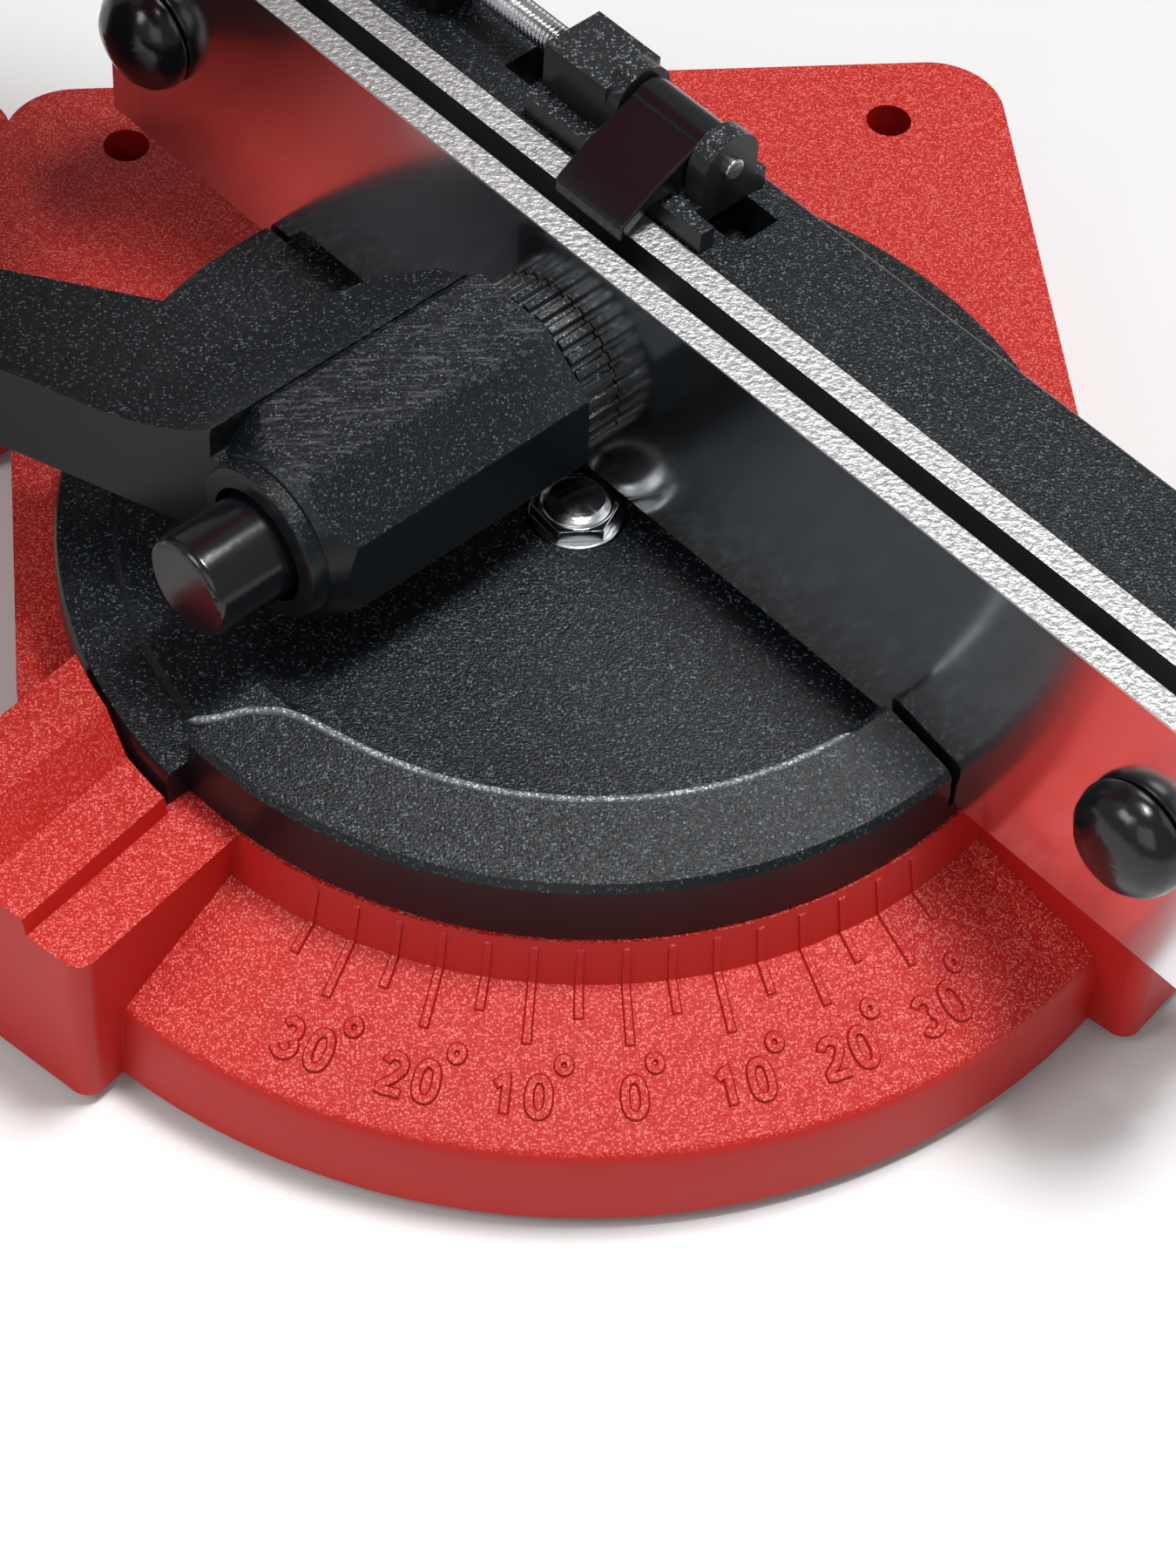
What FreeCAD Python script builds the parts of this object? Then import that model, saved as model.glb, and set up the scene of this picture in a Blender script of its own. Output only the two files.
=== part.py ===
import FreeCAD, Part
import os
from math import cos, sin, pi, radians

# Bench sharpener for saw chain: a base with an angle scale, a swivelling two-rail chain vise with a
# clamp lever, and a motor head with a grinding wheel that swings down over the vise.
# Millimetres. Origin on the swivel axis at bench level, X to the right, Y to the back, Z up.

# Base
FOOT_HEIGHT = 2.0
BASE_HEIGHT = 22.0            # flat deck of the base above the bench
BASE_HALF_WIDTH = 71.0
BASE_BACK = 96.0
BASE_FRONT = -24.0
WALL = 3.0
RIM_RADIUS = 64.0             # foot of the rim that surrounds the swivel
RIM_TOP_RADIUS = 62.55
RIM_TOP = 28.4
CUP_RADIUS = 60.0             # inside of the rim
CUP_FLOOR = 13.0
SCALE_EDGE_RADIUS = 82.6
SCALE_WALL_RADIUS = 84.0
SCALE_SLOPE = 0.406           # drop of the scale face per mm of radius
SECTOR_START = -137.0
SECTOR_SWEEP = 94.0
WING_LENGTH = 90.0            # swivel axis to the end face of a front wing, along its diagonal
WING_STEPS = ((0.9, RIM_TOP), (9.4, RIM_TOP), (10.0, 30.9), (17.5, 30.9), (22.0, 35.4), (30.6, 35.4))
BOSS_RADIUS = 13.0
BOSS_TOP = 26.9
DETENT_STEP = 5.0
DETENT_COUNT = 15
DETENT_GROOVE_RADIUS = 0.9
FEET = ((-58.0, 58.0), (58.0, 58.0), (-66.0, -45.0), (66.0, -45.0), (-121.0, 86.0))
FOOT_RADIUS = 6.9
BENCH_HOLES = ((-54.0, 84.0), (54.0, 84.0), (-118.0, 50.0))
BENCH_HOLE_RADIUS = 3.2
TOWER_PAD = (-133.0, -70.0, 43.0, 96.0)   # pad under the hinge bracket: left, right, front, back
BRACKET_BOLTS = ((-117.5, 62.0), (-103.0, 62.0), (-117.5, 78.0), (-103.0, 78.0))
BRACKET_CHEEKS = ((48.0, 56.0), (84.0, 92.0))

# Swivel
SWIVEL_REST = -53.0           # direction of the rails at rest, degrees from +X
SWIVEL_TRAVEL = 74.0          # from one stop to the other
PIVOT_BOLT_RADIUS = 4.0
PIVOT_BORE_RADIUS = 4.06
FLANGE_RADIUS = 65.5
FLANGE_BOTTOM = 28.8
FLANGE_TOP = 34.2
DISC_TOP = 35.2
DISC_BOTTOM = 31.2
BOLT_SEAT = 34.0
SKIRT_RADIUS = 59.3
RAISED_RADIUS = 62.2          # raised front quarter of the swivel
RAISED_INNER = 50.2
RAISED_EDGE = 38.4
RAISED_TOP = 40.6
RAISED_START = -91.0
STOP_LUG_ANGLE = 100.0        # stop lug under the swivel
STOP_HALF_WIDTH = 6.0

# Vise, in the swivel's own frame: x along the rails, y across them
RAIL_LEFT = -98.0
RAIL_RIGHT = 100.0
RAIL_TOP = 71.6
RAIL_BOTTOM = 38.0
RAIL_END_BOTTOM = 32.0
NOTCH_INNER = 58.2
NOTCH_OUTER = 62.8
FRONT_JAW = (4.4, 8.4)
REAR_JAW = (11.5, 15.6)
BLOCK = (15.6, 32.1)
BLOCK_LEFT = -90.0
BLOCK_RIGHT = 98.0
BLOCK_BOTTOM = 37.0
GUIDE_X = 88.5
CLAMP_X = -10.0
CLAMP_Z = 52.0
GUIDE_RADIUS = 2.95
GUIDE_BORE = 3.0
REAR_JAW_SCREWS = ((-70.0, 60.0), (-40.0, 46.0), (30.0, 46.0), (70.0, 60.0))

# Clamp screw and lever
STUD_RADIUS = 4.0
STUD_BORE = 4.05
HUB_RADIUS = 12.0
HUB_RIBS = 34
HUB_SHAFT_RADIUS = 8.9
LEVER_BORE = 8.96
LEVER_PROFILE = ((-9.4, 11.7), (3.9, 11.9), (11.9, 5.3), (12.5, -4.8), (5.2, -12.0), (-5.0, -12.0),
                 (-12.0, -5.0), (-12.6, 8.6))   # boss seen along the clamp screw
LEVER_INNER = -1.0
LEVER_OUTER = -41.5
LEVER_SHOULDER = -31.0
LEVER_PIN_RADIUS = 6.8
LEVER_PIN_END = -55.0
ARM_ANGLE = 28.0
ARM_LENGTH = 78.0
ARM_THICKNESS = 14.0

# Chain stop
STOP_PIVOT = (24.0, 78.5)     # across the rails, height
STOP_LEFT = -20.0
STOP_RIGHT = -1.5
STOP_EAR = 3.0
STOP_NUT_LEFT = -30.0
STOP_SCREW_RADIUS = 2.0
STOP_SCREW_Z = 77.4

# Head
HINGE = (-112.0, 100.0)       # X, Z of the head hinge
HINGE_RADIUS = 5.0
WHEEL_DIAMETER = 108.0
WHEEL_THICKNESS = 3.2
WHEEL_BORE = 23.0
WHEEL_GAP = 1.4               # wheel to rails with the head down
HEAD_LIFT = 50.0              # degrees the head is raised at rest
MOTOR_RADIUS = 37.0
MOTOR_FRONT = 17.0
MOTOR_BACK = 100.0
CAP_BACK = 113.0
SHAFT_RADIUS = 5.0
GUARD_RADIUS = 60.0
GUARD_OPENING = 26.0          # height of the guard's lower edge below the wheel centre
DEPTH_X = -90.5               # depth screw and the post that it lands on
DEPTH_PAD = 79.0
DEPTH_SCREW_RADIUS = 2.9
GUARD_SCREWS = (30.0, 150.0, 270.0)
GUARD_SCREW_CIRCLE = 26.0
COVER_SCREWS = (20.0, 90.0, 160.0)
COVER_SCREW_CIRCLE = 60.6
HANDLE_END = 132.0
HANDLE_Y = (44.0, 74.0)
HANDLE_SCREWS = (50.0, 108.0)
HANDLE_MIDDLE = 59.0
SWITCH = (60.0, 92.0, 50.0, 68.0)         # left, right, front, back
ROCKER_TILT = 7.0
TRUNNION_RADIUS = 1.2

CLEARANCE = 0.3
RUNNING = 0.05
OVERLAP = 1.0

WHEEL_Z = RAIL_TOP + WHEEL_GAP + WHEEL_DIAMETER / 2
ORIGIN = FreeCAD.Vector(0, 0, 0)
X_AXIS = FreeCAD.Vector(1, 0, 0)
Y_AXIS = FreeCAD.Vector(0, 1, 0)
Z_AXIS = FreeCAD.Vector(0, 0, 1)


def point(x, y, z):
    return FreeCAD.Vector(x, y, z)


def box(low, high):
    size = [b - a for a, b in zip(low, high)]
    return Part.makeBox(size[0], size[1], size[2], point(*low))


def rod(radius, start, end):
    """Cylinder between two points."""
    axis = end - start
    return Part.makeCylinder(radius, axis.Length, start, axis)


def tube(outer, inner, start, end):
    return rod(outer, start, end).cut(rod(inner, start, end))


def turned(profile, base=ORIGIN, axis=Z_AXIS, start=0.0, sweep=360.0):
    """Solid of revolution from corners given as (radius, distance along the axis)."""
    corners = [point(radius, 0, station) for radius, station in profile]
    solid = Part.Face(Part.makePolygon(corners + corners[:1])).revolve(ORIGIN, Z_AXIS, sweep)
    solid.rotate(ORIGIN, Z_AXIS, start)
    if solid.Volume < 0:
        solid.reverse()
    placement = FreeCAD.Placement(base, FreeCAD.Rotation(Z_AXIS, axis))
    solid.Placement = placement.multiply(solid.Placement)
    return solid


def prism(corners, along):
    """Straight extrusion of a closed polygon."""
    return Part.Face(Part.makePolygon(corners + corners[:1])).extrude(along)


def slab(outline, bottom, top):
    return prism([point(x, y, bottom) for x, y in outline], point(0, 0, top - bottom))


def regular(sides, flats, base, axis, length, turn=0.0):
    """Prism with an even number of flats; the first flat faces the turn angle."""
    reach = flats / 2 / cos(pi / sides)
    corners = []
    for index in range(sides):
        angle = radians(turn) + (index + 0.5) * 2 * pi / sides
        corners.append(point(reach * cos(angle), reach * sin(angle), 0))
    solid = prism(corners, point(0, 0, length))
    solid.Placement = FreeCAD.Placement(base, FreeCAD.Rotation(Z_AXIS, axis))
    return solid


def fuse(shapes):
    return shapes[0].multiFuse(list(shapes[1:])).removeSplitter()


def cut(shape, tools):
    return shape.cut(list(tools))


def group(shapes):
    return Part.makeCompound(list(shapes))


def softened(shape, radius, wanted):
    """Fillet the edges that a test picks."""
    edges = [edge for edge in shape.Edges if wanted(edge)]
    return shape.makeFillet(radius, edges)


def upright(edge):
    first, last = edge.Vertexes[0].Point, edge.Vertexes[-1].Point
    return abs(first.x - last.x) < 0.01 and abs(first.y - last.y) < 0.01 and edge.Length > 2


def polar(radius, degrees, z=0.0):
    return point(radius * cos(radians(degrees)), radius * sin(radians(degrees)), z)


def on_swivel(shape):
    """Swivel frame to rest position."""
    turned_shape = shape.copy()
    turned_shape.rotate(ORIGIN, Z_AXIS, SWIVEL_REST)
    return turned_shape


def on_head(shape):
    """Head drawn in its lowered position, swung up to rest."""
    raised = shape.copy()
    raised.rotate(point(HINGE[0], 0, HINGE[1]), Y_AXIS, -HEAD_LIFT)
    return raised


def save(name, shape):
    shape.exportStep("parts/" + name + ".step")


# Base ------------------------------------------------------------------------------------------


def wing(mirrored):
    """Front wing with steps that climb away from the scale, seen along the diagonal."""
    side = 1 if mirrored else -1
    along = point(side * cos(pi / 4), -sin(pi / 4), 0)
    across = point(side * cos(pi / 4), sin(pi / 4), 0)
    start = along * (RIM_RADIUS - 9)
    steps = [(WING_STEPS[0][0], FOOT_HEIGHT)] + list(WING_STEPS) + [(WING_STEPS[-1][0], FOOT_HEIGHT)]
    corners = [start + across * offset + Z_AXIS * height for offset, height in steps]
    solid = prism(corners, along * (WING_LENGTH - RIM_RADIUS + 9))
    return softened(solid, 2.5, lambda edge: upright(edge) and edge.CenterOfMass.dot(along) > WING_LENGTH - 1)


def wing_pocket(mirrored):
    side = 1 if mirrored else -1
    along = point(side * cos(pi / 4), -sin(pi / 4), 0)
    across = point(side * cos(pi / 4), sin(pi / 4), 0)
    low = along * (RIM_RADIUS + WALL) + Z_AXIS * (FOOT_HEIGHT - OVERLAP)
    span = (WING_STEPS[0][0] + WALL, WING_STEPS[-1][0] - WALL)
    corners = [low + across * span[0], low + across * span[1]]
    corners += [low + across * span[1] + Z_AXIS * 24, low + across * span[0] + Z_AXIS * 20]
    return prism(corners, along * (WING_LENGTH - RIM_RADIUS - 2 * WALL))


def rounded_slab(x_low, x_high, y_low, y_high, bottom, top, radius):
    solid = box((x_low, y_low, bottom), (x_high, y_high, top))
    return softened(solid, radius, upright)


def base_shell():
    drop = (SCALE_EDGE_RADIUS - RIM_RADIUS) * SCALE_SLOPE
    edge_z = BASE_HEIGHT - drop
    sector = turned([(40, FOOT_HEIGHT), (SCALE_WALL_RADIUS, FOOT_HEIGHT),
                     (SCALE_WALL_RADIUS - 0.4, edge_z - 1.9),
                     (SCALE_WALL_RADIUS - 0.8, edge_z - 0.8), (SCALE_EDGE_RADIUS, edge_z),
                     (RIM_RADIUS, BASE_HEIGHT), (40, BASE_HEIGHT)], start=SECTOR_START, sweep=SECTOR_SWEEP)
    rim = turned([(0, FOOT_HEIGHT), (RIM_RADIUS + 0.4, FOOT_HEIGHT), (RIM_RADIUS, BASE_HEIGHT),
                  (RIM_TOP_RADIUS, RIM_TOP), (0, RIM_TOP)])
    deck = rounded_slab(-BASE_HALF_WIDTH, BASE_HALF_WIDTH, BASE_FRONT, BASE_BACK, FOOT_HEIGHT,
                        BASE_HEIGHT, 10)
    pad = rounded_slab(*TOWER_PAD, FOOT_HEIGHT, BASE_HEIGHT, 8)
    shell = fuse([sector, rim, deck, pad, wing(False), wing(True)])
    under = FOOT_HEIGHT - OVERLAP
    pockets = [Part.makeCylinder(CUP_RADIUS, RIM_TOP, point(0, 0, CUP_FLOOR)),
               Part.makeCylinder(CUP_RADIUS - 1, CUP_FLOOR - WALL - under, point(0, 0, under)),
               turned([(RIM_RADIUS + WALL, under), (SCALE_EDGE_RADIUS - WALL, under),
                       (SCALE_EDGE_RADIUS - WALL, edge_z - WALL),
                       (RIM_RADIUS + WALL, BASE_HEIGHT - WALL - 1)],
                      start=SECTOR_START + 6, sweep=SECTOR_SWEEP - 12)]
    back = box((-BASE_HALF_WIDTH + WALL, 20, under),
               (BASE_HALF_WIDTH - WALL, BASE_BACK - WALL, BASE_HEIGHT - WALL))
    back = back.cut(Part.makeCylinder(RIM_RADIUS + 1, BASE_HEIGHT, ORIGIN))
    bosses = [Part.makeCylinder(8, BASE_HEIGHT, point(x, y, 0)) for x, y in BENCH_HOLES]
    pad_pocket = box((TOWER_PAD[0] + WALL, TOWER_PAD[2] + WALL, under),
                     (TOWER_PAD[1] - OVERLAP, TOWER_PAD[3] - WALL, BASE_HEIGHT - 5))
    bolt_bosses = [Part.makeCylinder(5, BASE_HEIGHT, point(x, y, 0)) for x, y in BRACKET_BOLTS]
    seats = [Part.makeCylinder(FOOT_RADIUS + 1.1, BASE_HEIGHT, point(x, y, 0)) for x, y in FEET]
    pockets += [cut(back, bosses + seats), cut(pad_pocket, bosses + seats + bolt_bosses)]
    pockets += [cut(wing_pocket(mirrored), seats) for mirrored in (False, True)]
    pockets.append(Part.makeCylinder(FLANGE_RADIUS + 0.8, BASE_HEIGHT, point(0, 0, RIM_TOP)))
    shell = cut(shell, pockets)
    pillar = Part.makeCylinder(BOSS_RADIUS, BOSS_TOP - CUP_FLOOR + OVERLAP,
                               point(0, 0, CUP_FLOOR - OVERLAP))
    stops = [stop_post(angle) for angle in stop_angles()]
    shell = fuse([shell, pillar] + stops)
    holes = [Part.makeCylinder(PIVOT_BORE_RADIUS + 0.2, BASE_HEIGHT * 2, ORIGIN)]
    holes += [Part.makeCylinder(BENCH_HOLE_RADIUS, BASE_HEIGHT * 2, point(x, y, 0)) for x, y in BENCH_HOLES]
    holes += [Part.makeCylinder(1.8, BASE_HEIGHT * 2, point(x, y, 8)) for x, y in BRACKET_BOLTS]
    for index in range(DETENT_COUNT):
        angle = -135 + (index - DETENT_COUNT // 2) * DETENT_STEP
        holes.append(Part.makeCylinder(DETENT_GROOVE_RADIUS, RIM_TOP,
                                       polar(CUP_RADIUS, angle, BASE_HEIGHT)))
    holes += [Part.makeCylinder(FOOT_RADIUS, 1.0, point(x, y, FOOT_HEIGHT - 0.1)) for x, y in FEET]
    return cut(shell, holes)


def stop_angles():
    """Directions of the two base posts that the swivel's lug meets at the ends of its travel."""
    rest = SWIVEL_REST + STOP_LUG_ANGLE
    reach = 2 * STOP_HALF_WIDTH + 0.6
    return (rest + reach, rest - SWIVEL_TRAVEL - reach)


def stop_post(angle):
    return turned([(42, CUP_FLOOR - OVERLAP), (52, CUP_FLOOR - OVERLAP), (52, 27.5), (42, 27.5)],
                  start=angle - STOP_HALF_WIDTH, sweep=2 * STOP_HALF_WIDTH)


def rubber_feet():
    return group([Part.makeCylinder(FOOT_RADIUS, FOOT_HEIGHT + 0.9, point(x, y, 0)) for x, y in FEET])


def thrust_washer():
    return turned([(PIVOT_BORE_RADIUS + 0.2, BOSS_TOP), (BOSS_RADIUS, BOSS_TOP),
                   (BOSS_RADIUS, BOSS_TOP + 1.5),
                   (PIVOT_BORE_RADIUS + 0.2, BOSS_TOP + 1.5)])


def hinge_bracket():
    """Two cheeks on a foot, with the pad that the depth screw lands on."""
    x, z = HINGE
    foot = rounded_slab(-129, -95, 48, 92, BASE_HEIGHT, BASE_HEIGHT + 7, 4)
    cheeks = []
    for near, far in BRACKET_CHEEKS:
        outline = [(-129, BASE_HEIGHT), (-95, BASE_HEIGHT), (-97, z), (-127, z)]
        cheek = prism([point(a, near, b) for a, b in outline], point(0, far - near, 0))
        cheeks.append(fuse([cheek, rod(15, point(x, near, z), point(x, far, z))]))
    web = box((-129, 56 - OVERLAP, BASE_HEIGHT), (-123, 84 + OVERLAP, 74))
    ledge = box((-125, 62, BASE_HEIGHT), (-84, 78, BASE_HEIGHT + 6))
    post = box((-97, 62, BASE_HEIGHT), (-84, 78, DEPTH_PAD))
    bracket = fuse([foot, web, ledge, post] + cheeks)
    holes = [rod(HINGE_RADIUS, point(x, 40, z), point(x, 100, z))]
    holes += [Part.makeCylinder(2.2, 12, point(a, b, BASE_HEIGHT - OVERLAP)) for a, b in BRACKET_BOLTS]
    return cut(bracket, holes)


def bracket_screws():
    screws = []
    for a, b in BRACKET_BOLTS:
        top = BASE_HEIGHT + 7
        screws.append(fuse([Part.makeCylinder(1.75, top - 9, point(a, b, 9)),
                            turned([(0, top), (4, top), (3.6, top + 1.8), (2, top + 2.8),
                                    (0, top + 2.8)], point(a, b, 0))]))
    return group(screws)


def hinge_pin():
    x, z = HINGE
    pin = rod(HINGE_RADIUS, point(x, 46.5, z), point(x, 93.5, z))
    head = turned([(0, 0), (8, 0), (8, 2.5), (6.5, 3.5), (0, 3.5)], point(x, 48, z), point(0, -1, 0))
    return fuse([pin, head])


def hinge_nut():
    x, z = HINGE
    nut = regular(6, 13, point(x, 92, z), Y_AXIS, 6)
    return nut.cut(rod(HINGE_RADIUS, point(x, 91, z), point(x, 93.5, z)))


def hinge_spring():
    x, z = HINGE
    return tube(12.5, 9.5, point(x, 73.5, z), point(x, 83.5, z))


# Swivel ----------------------------------------------------------------------------------------


def turntable():
    disc = turned([(PIVOT_BORE_RADIUS, BOSS_TOP + 1.6), (BOSS_RADIUS, BOSS_TOP + 1.6),
                   (BOSS_RADIUS, DISC_BOTTOM),
                   (SKIRT_RADIUS - 3, DISC_BOTTOM), (SKIRT_RADIUS - 3, 21), (SKIRT_RADIUS, 21),
                   (SKIRT_RADIUS, FLANGE_BOTTOM), (FLANGE_RADIUS, FLANGE_BOTTOM),
                   (FLANGE_RADIUS, FLANGE_TOP - 1.1),
                   (FLANGE_RADIUS - 0.4, FLANGE_TOP - 0.3), (FLANGE_RADIUS - 1.3, FLANGE_TOP),
                   (58.4, FLANGE_TOP), (57.6, DISC_TOP), (PIVOT_BORE_RADIUS, DISC_TOP)])
    quarter = -RAISED_START + 12
    trim = turned([(RAISED_RADIUS, RIM_TOP), (FLANGE_RADIUS + 1, RIM_TOP),
                   (FLANGE_RADIUS + 1, DISC_TOP + 1),
                   (RAISED_RADIUS, DISC_TOP + 1)], start=RAISED_START, sweep=quarter)
    raised = turned([(RAISED_INNER + 1.2, DISC_BOTTOM), (RAISED_RADIUS, FLANGE_BOTTOM),
                     (RAISED_RADIUS, RAISED_EDGE - 0.9),
                     (RAISED_RADIUS - 0.8, RAISED_EDGE), (RAISED_INNER + 1, RAISED_TOP),
                     (RAISED_INNER, RAISED_TOP - 0.5)], start=RAISED_START, sweep=quarter)
    raised = raised.cut(box((0, FRONT_JAW[0] - 0.8, DISC_TOP), (80, 40, 60)))
    disc = disc.cut(trim)
    block = box((BLOCK_LEFT, BLOCK[0], BLOCK_BOTTOM), (BLOCK_RIGHT, BLOCK[1], RAIL_TOP))
    block = softened(block, 1.1, lambda edge: edge.CenterOfMass.y > BLOCK[1] - 0.1)
    seat = box((-52, BLOCK[0], DISC_BOTTOM), (52, BLOCK[1], BLOCK_BOTTOM + 2))
    gussets = []
    for x in (-48, 0, 44):
        low, high = BLOCK[1] - OVERLAP, BLOCK[1] + 13
        corners = [point(x, low, DISC_TOP - OVERLAP), point(x, high, DISC_TOP - OVERLAP), point(x, low, 62)]
        gussets.append(prism(corners, point(4, 0, 0)))
    detent = box((-5, 40, 21), (5, SKIRT_RADIUS - 2, DISC_BOTTOM + OVERLAP))
    detent.rotate(ORIGIN, Z_AXIS, -135)
    lug = turned([(42.5, 20), (51.5, 20), (51.5, DISC_BOTTOM + OVERLAP), (42.5, DISC_BOTTOM + OVERLAP)],
                 start=STOP_LUG_ANGLE - STOP_HALF_WIDTH, sweep=2 * STOP_HALF_WIDTH)
    body = fuse([disc, raised, block, seat, detent, lug, stop_lug()] + gussets)
    axis_in, axis_out = BLOCK[0] - OVERLAP, BLOCK[1] + OVERLAP
    holes = [rod(STUD_RADIUS, point(CLAMP_X, axis_in, CLAMP_Z), point(CLAMP_X, axis_out, CLAMP_Z)),
             box((-38, 20.5, 65.6), (4, 27.5, RAIL_TOP + OVERLAP)),
             Part.makeCylinder(6.6, 10, point(0, 0, BOLT_SEAT))]
    for low, high in ((-72, -NOTCH_INNER + 0.8), (NOTCH_INNER - 0.8, 72)):
        holes.append(box((low, FRONT_JAW[0] - 0.5, RAIL_END_BOTTOM - 0.5), (high, BLOCK[0], BLOCK_BOTTOM)))
    for x in (-GUIDE_X, GUIDE_X):
        holes.append(rod(GUIDE_RADIUS, point(x, axis_in, CLAMP_Z), point(x, 30, CLAMP_Z)))
        holes.append(rod(5, point(x, axis_in, CLAMP_Z), point(x, 23, CLAMP_Z)))
    for x, z in REAR_JAW_SCREWS:
        holes.append(rod(2, point(x, axis_in, z), point(x, 28, z)))
    bore = rod(2.15, point(0, 46, 26), point(0, 62, 26))
    bore.rotate(ORIGIN, Z_AXIS, -135)
    return on_swivel(cut(body, holes + [bore]))


def rail_plate(y_low, y_high, bottom, end_bottom):
    outline = [(RAIL_LEFT, end_bottom), (-NOTCH_OUTER, end_bottom), (-NOTCH_INNER, bottom),
               (NOTCH_INNER, bottom),
               (NOTCH_OUTER, end_bottom), (RAIL_RIGHT, end_bottom), (RAIL_RIGHT, RAIL_TOP - 9),
               (RAIL_RIGHT - 9, RAIL_TOP), (RAIL_LEFT + 9, RAIL_TOP), (RAIL_LEFT, RAIL_TOP - 9)]
    return prism([point(x, y_low, z) for x, z in outline], point(0, y_high - y_low, 0))


def front_jaw():
    plate = rail_plate(FRONT_JAW[0], FRONT_JAW[1], RAIL_BOTTOM, RAIL_END_BOTTOM)
    holes = [rod(GUIDE_BORE, point(x, 0, CLAMP_Z), point(x, 12, CLAMP_Z)) for x in (-GUIDE_X, GUIDE_X)]
    holes.append(rod(STUD_RADIUS + 0.4, point(CLAMP_X, 0, CLAMP_Z), point(CLAMP_X, 12, CLAMP_Z)))
    return on_swivel(cut(plate, holes))


def rear_jaw():
    plate = rail_plate(REAR_JAW[0], REAR_JAW[1], RAIL_BOTTOM, RAIL_END_BOTTOM + 2)
    low, high = REAR_JAW[0] - OVERLAP, REAR_JAW[1] + OVERLAP
    holes = [rod(5, point(x, low, CLAMP_Z), point(x, high, CLAMP_Z)) for x in (-GUIDE_X, GUIDE_X)]
    holes.append(rod(STUD_RADIUS, point(CLAMP_X, low, CLAMP_Z), point(CLAMP_X, high, CLAMP_Z)))
    for x, z in REAR_JAW_SCREWS:
        holes.append(rod(2, point(x, low, z), point(x, high, z)))
        holes.append(Part.makeCone(4, 2, 2, point(x, REAR_JAW[0], z), Y_AXIS))
    return on_swivel(cut(plate, holes))


def rear_jaw_screws():
    screws = []
    for x, z in REAR_JAW_SCREWS:
        head = Part.makeCone(3.9, 2, 1.9, point(x, REAR_JAW[0] + 0.1, z), Y_AXIS)
        socket = regular(6, 2.5, point(x, REAR_JAW[0], z), Y_AXIS, 1.3)
        screws.append(fuse([head, rod(2, point(x, REAR_JAW[0] + 1.5, z), point(x, 27, z))]).cut(socket))
    return on_swivel(group(screws))


def guide_screws():
    """Shoulder screws with domed black heads that the front jaw slides on."""
    screws = []
    for x in (-GUIDE_X, GUIDE_X):
        face = FRONT_JAW[0] - 0.1
        dome = [(0, 0), (7.6, 0), (7.6, 1.4), (7.0, 3.2), (5.6, 4.7), (3.2, 5.7), (0, 6.0)]
        head = turned(dome, point(x, face, CLAMP_Z), point(0, -1, 0))
        screws.append(fuse([head, rod(GUIDE_RADIUS, point(x, face - 0.1, CLAMP_Z),
                                      point(x, 29.5, CLAMP_Z))]))
    return on_swivel(group(screws))


def jaw_springs():
    return on_swivel(group([tube(4.7, 3.5, point(x, FRONT_JAW[1] + 0.05, CLAMP_Z), point(x, 22.9, CLAMP_Z))
                            for x in (-GUIDE_X, GUIDE_X)]))


def clamp_stud():
    return on_swivel(rod(STUD_RADIUS, point(CLAMP_X, BLOCK[1] - 1, CLAMP_Z), point(CLAMP_X, -14, CLAMP_Z)))


def pivot_bolt():
    """Bolt with a dome nut head on top of the swivel, down through the base."""
    top = BOLT_SEAT + 1.0
    head = regular(6, 10, point(0, 0, top), Z_AXIS, 1.9, 23)
    dome = turned([(0, top + 1.2), (4.9, top + 1.2), (4.5, top + 2.2), (3.4, top + 2.8), (0, top + 3.1)])
    shank = Part.makeCylinder(PIVOT_BOLT_RADIUS, top - 3.4, point(0, 0, 3.6))
    return on_swivel(fuse([head, dome, shank]))


def pivot_washer():
    return tube(6.2, PIVOT_BOLT_RADIUS, point(0, 0, BOLT_SEAT), point(0, 0, BOLT_SEAT + 1.0))


def detent_ball():
    ball = Part.makeSphere(2.0, point(0, CUP_RADIUS - 2.06, 26))
    ball.rotate(ORIGIN, Z_AXIS, -135)
    return on_swivel(ball)


def detent_spring():
    spring = tube(1.9, 1.2, point(0, 46.5, 26), point(0, CUP_RADIUS - 4.2, 26))
    spring.rotate(ORIGIN, Z_AXIS, -135)
    return on_swivel(spring)


def lock_knob():
    """Six-lobed knob under the base that clamps the swivel."""
    knob = Part.makeCylinder(17, 6.4, point(0, 0, 3.0))
    lobes = [Part.makeCylinder(5, 6.4, polar(17, index * 60, 3.0)) for index in range(6)]
    return fuse([knob] + lobes).cut(Part.makeCylinder(6.5, 20, ORIGIN))


def lock_insert():
    return turned([(PIVOT_BORE_RADIUS, 3.0), (6.5, 3.0), (6.5, 9.4), (PIVOT_BORE_RADIUS, 9.4)])


# Clamp hub and lever ---------------------------------------------------------------------------


def clamp_axis(y):
    return point(CLAMP_X, y, CLAMP_Z)


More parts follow.
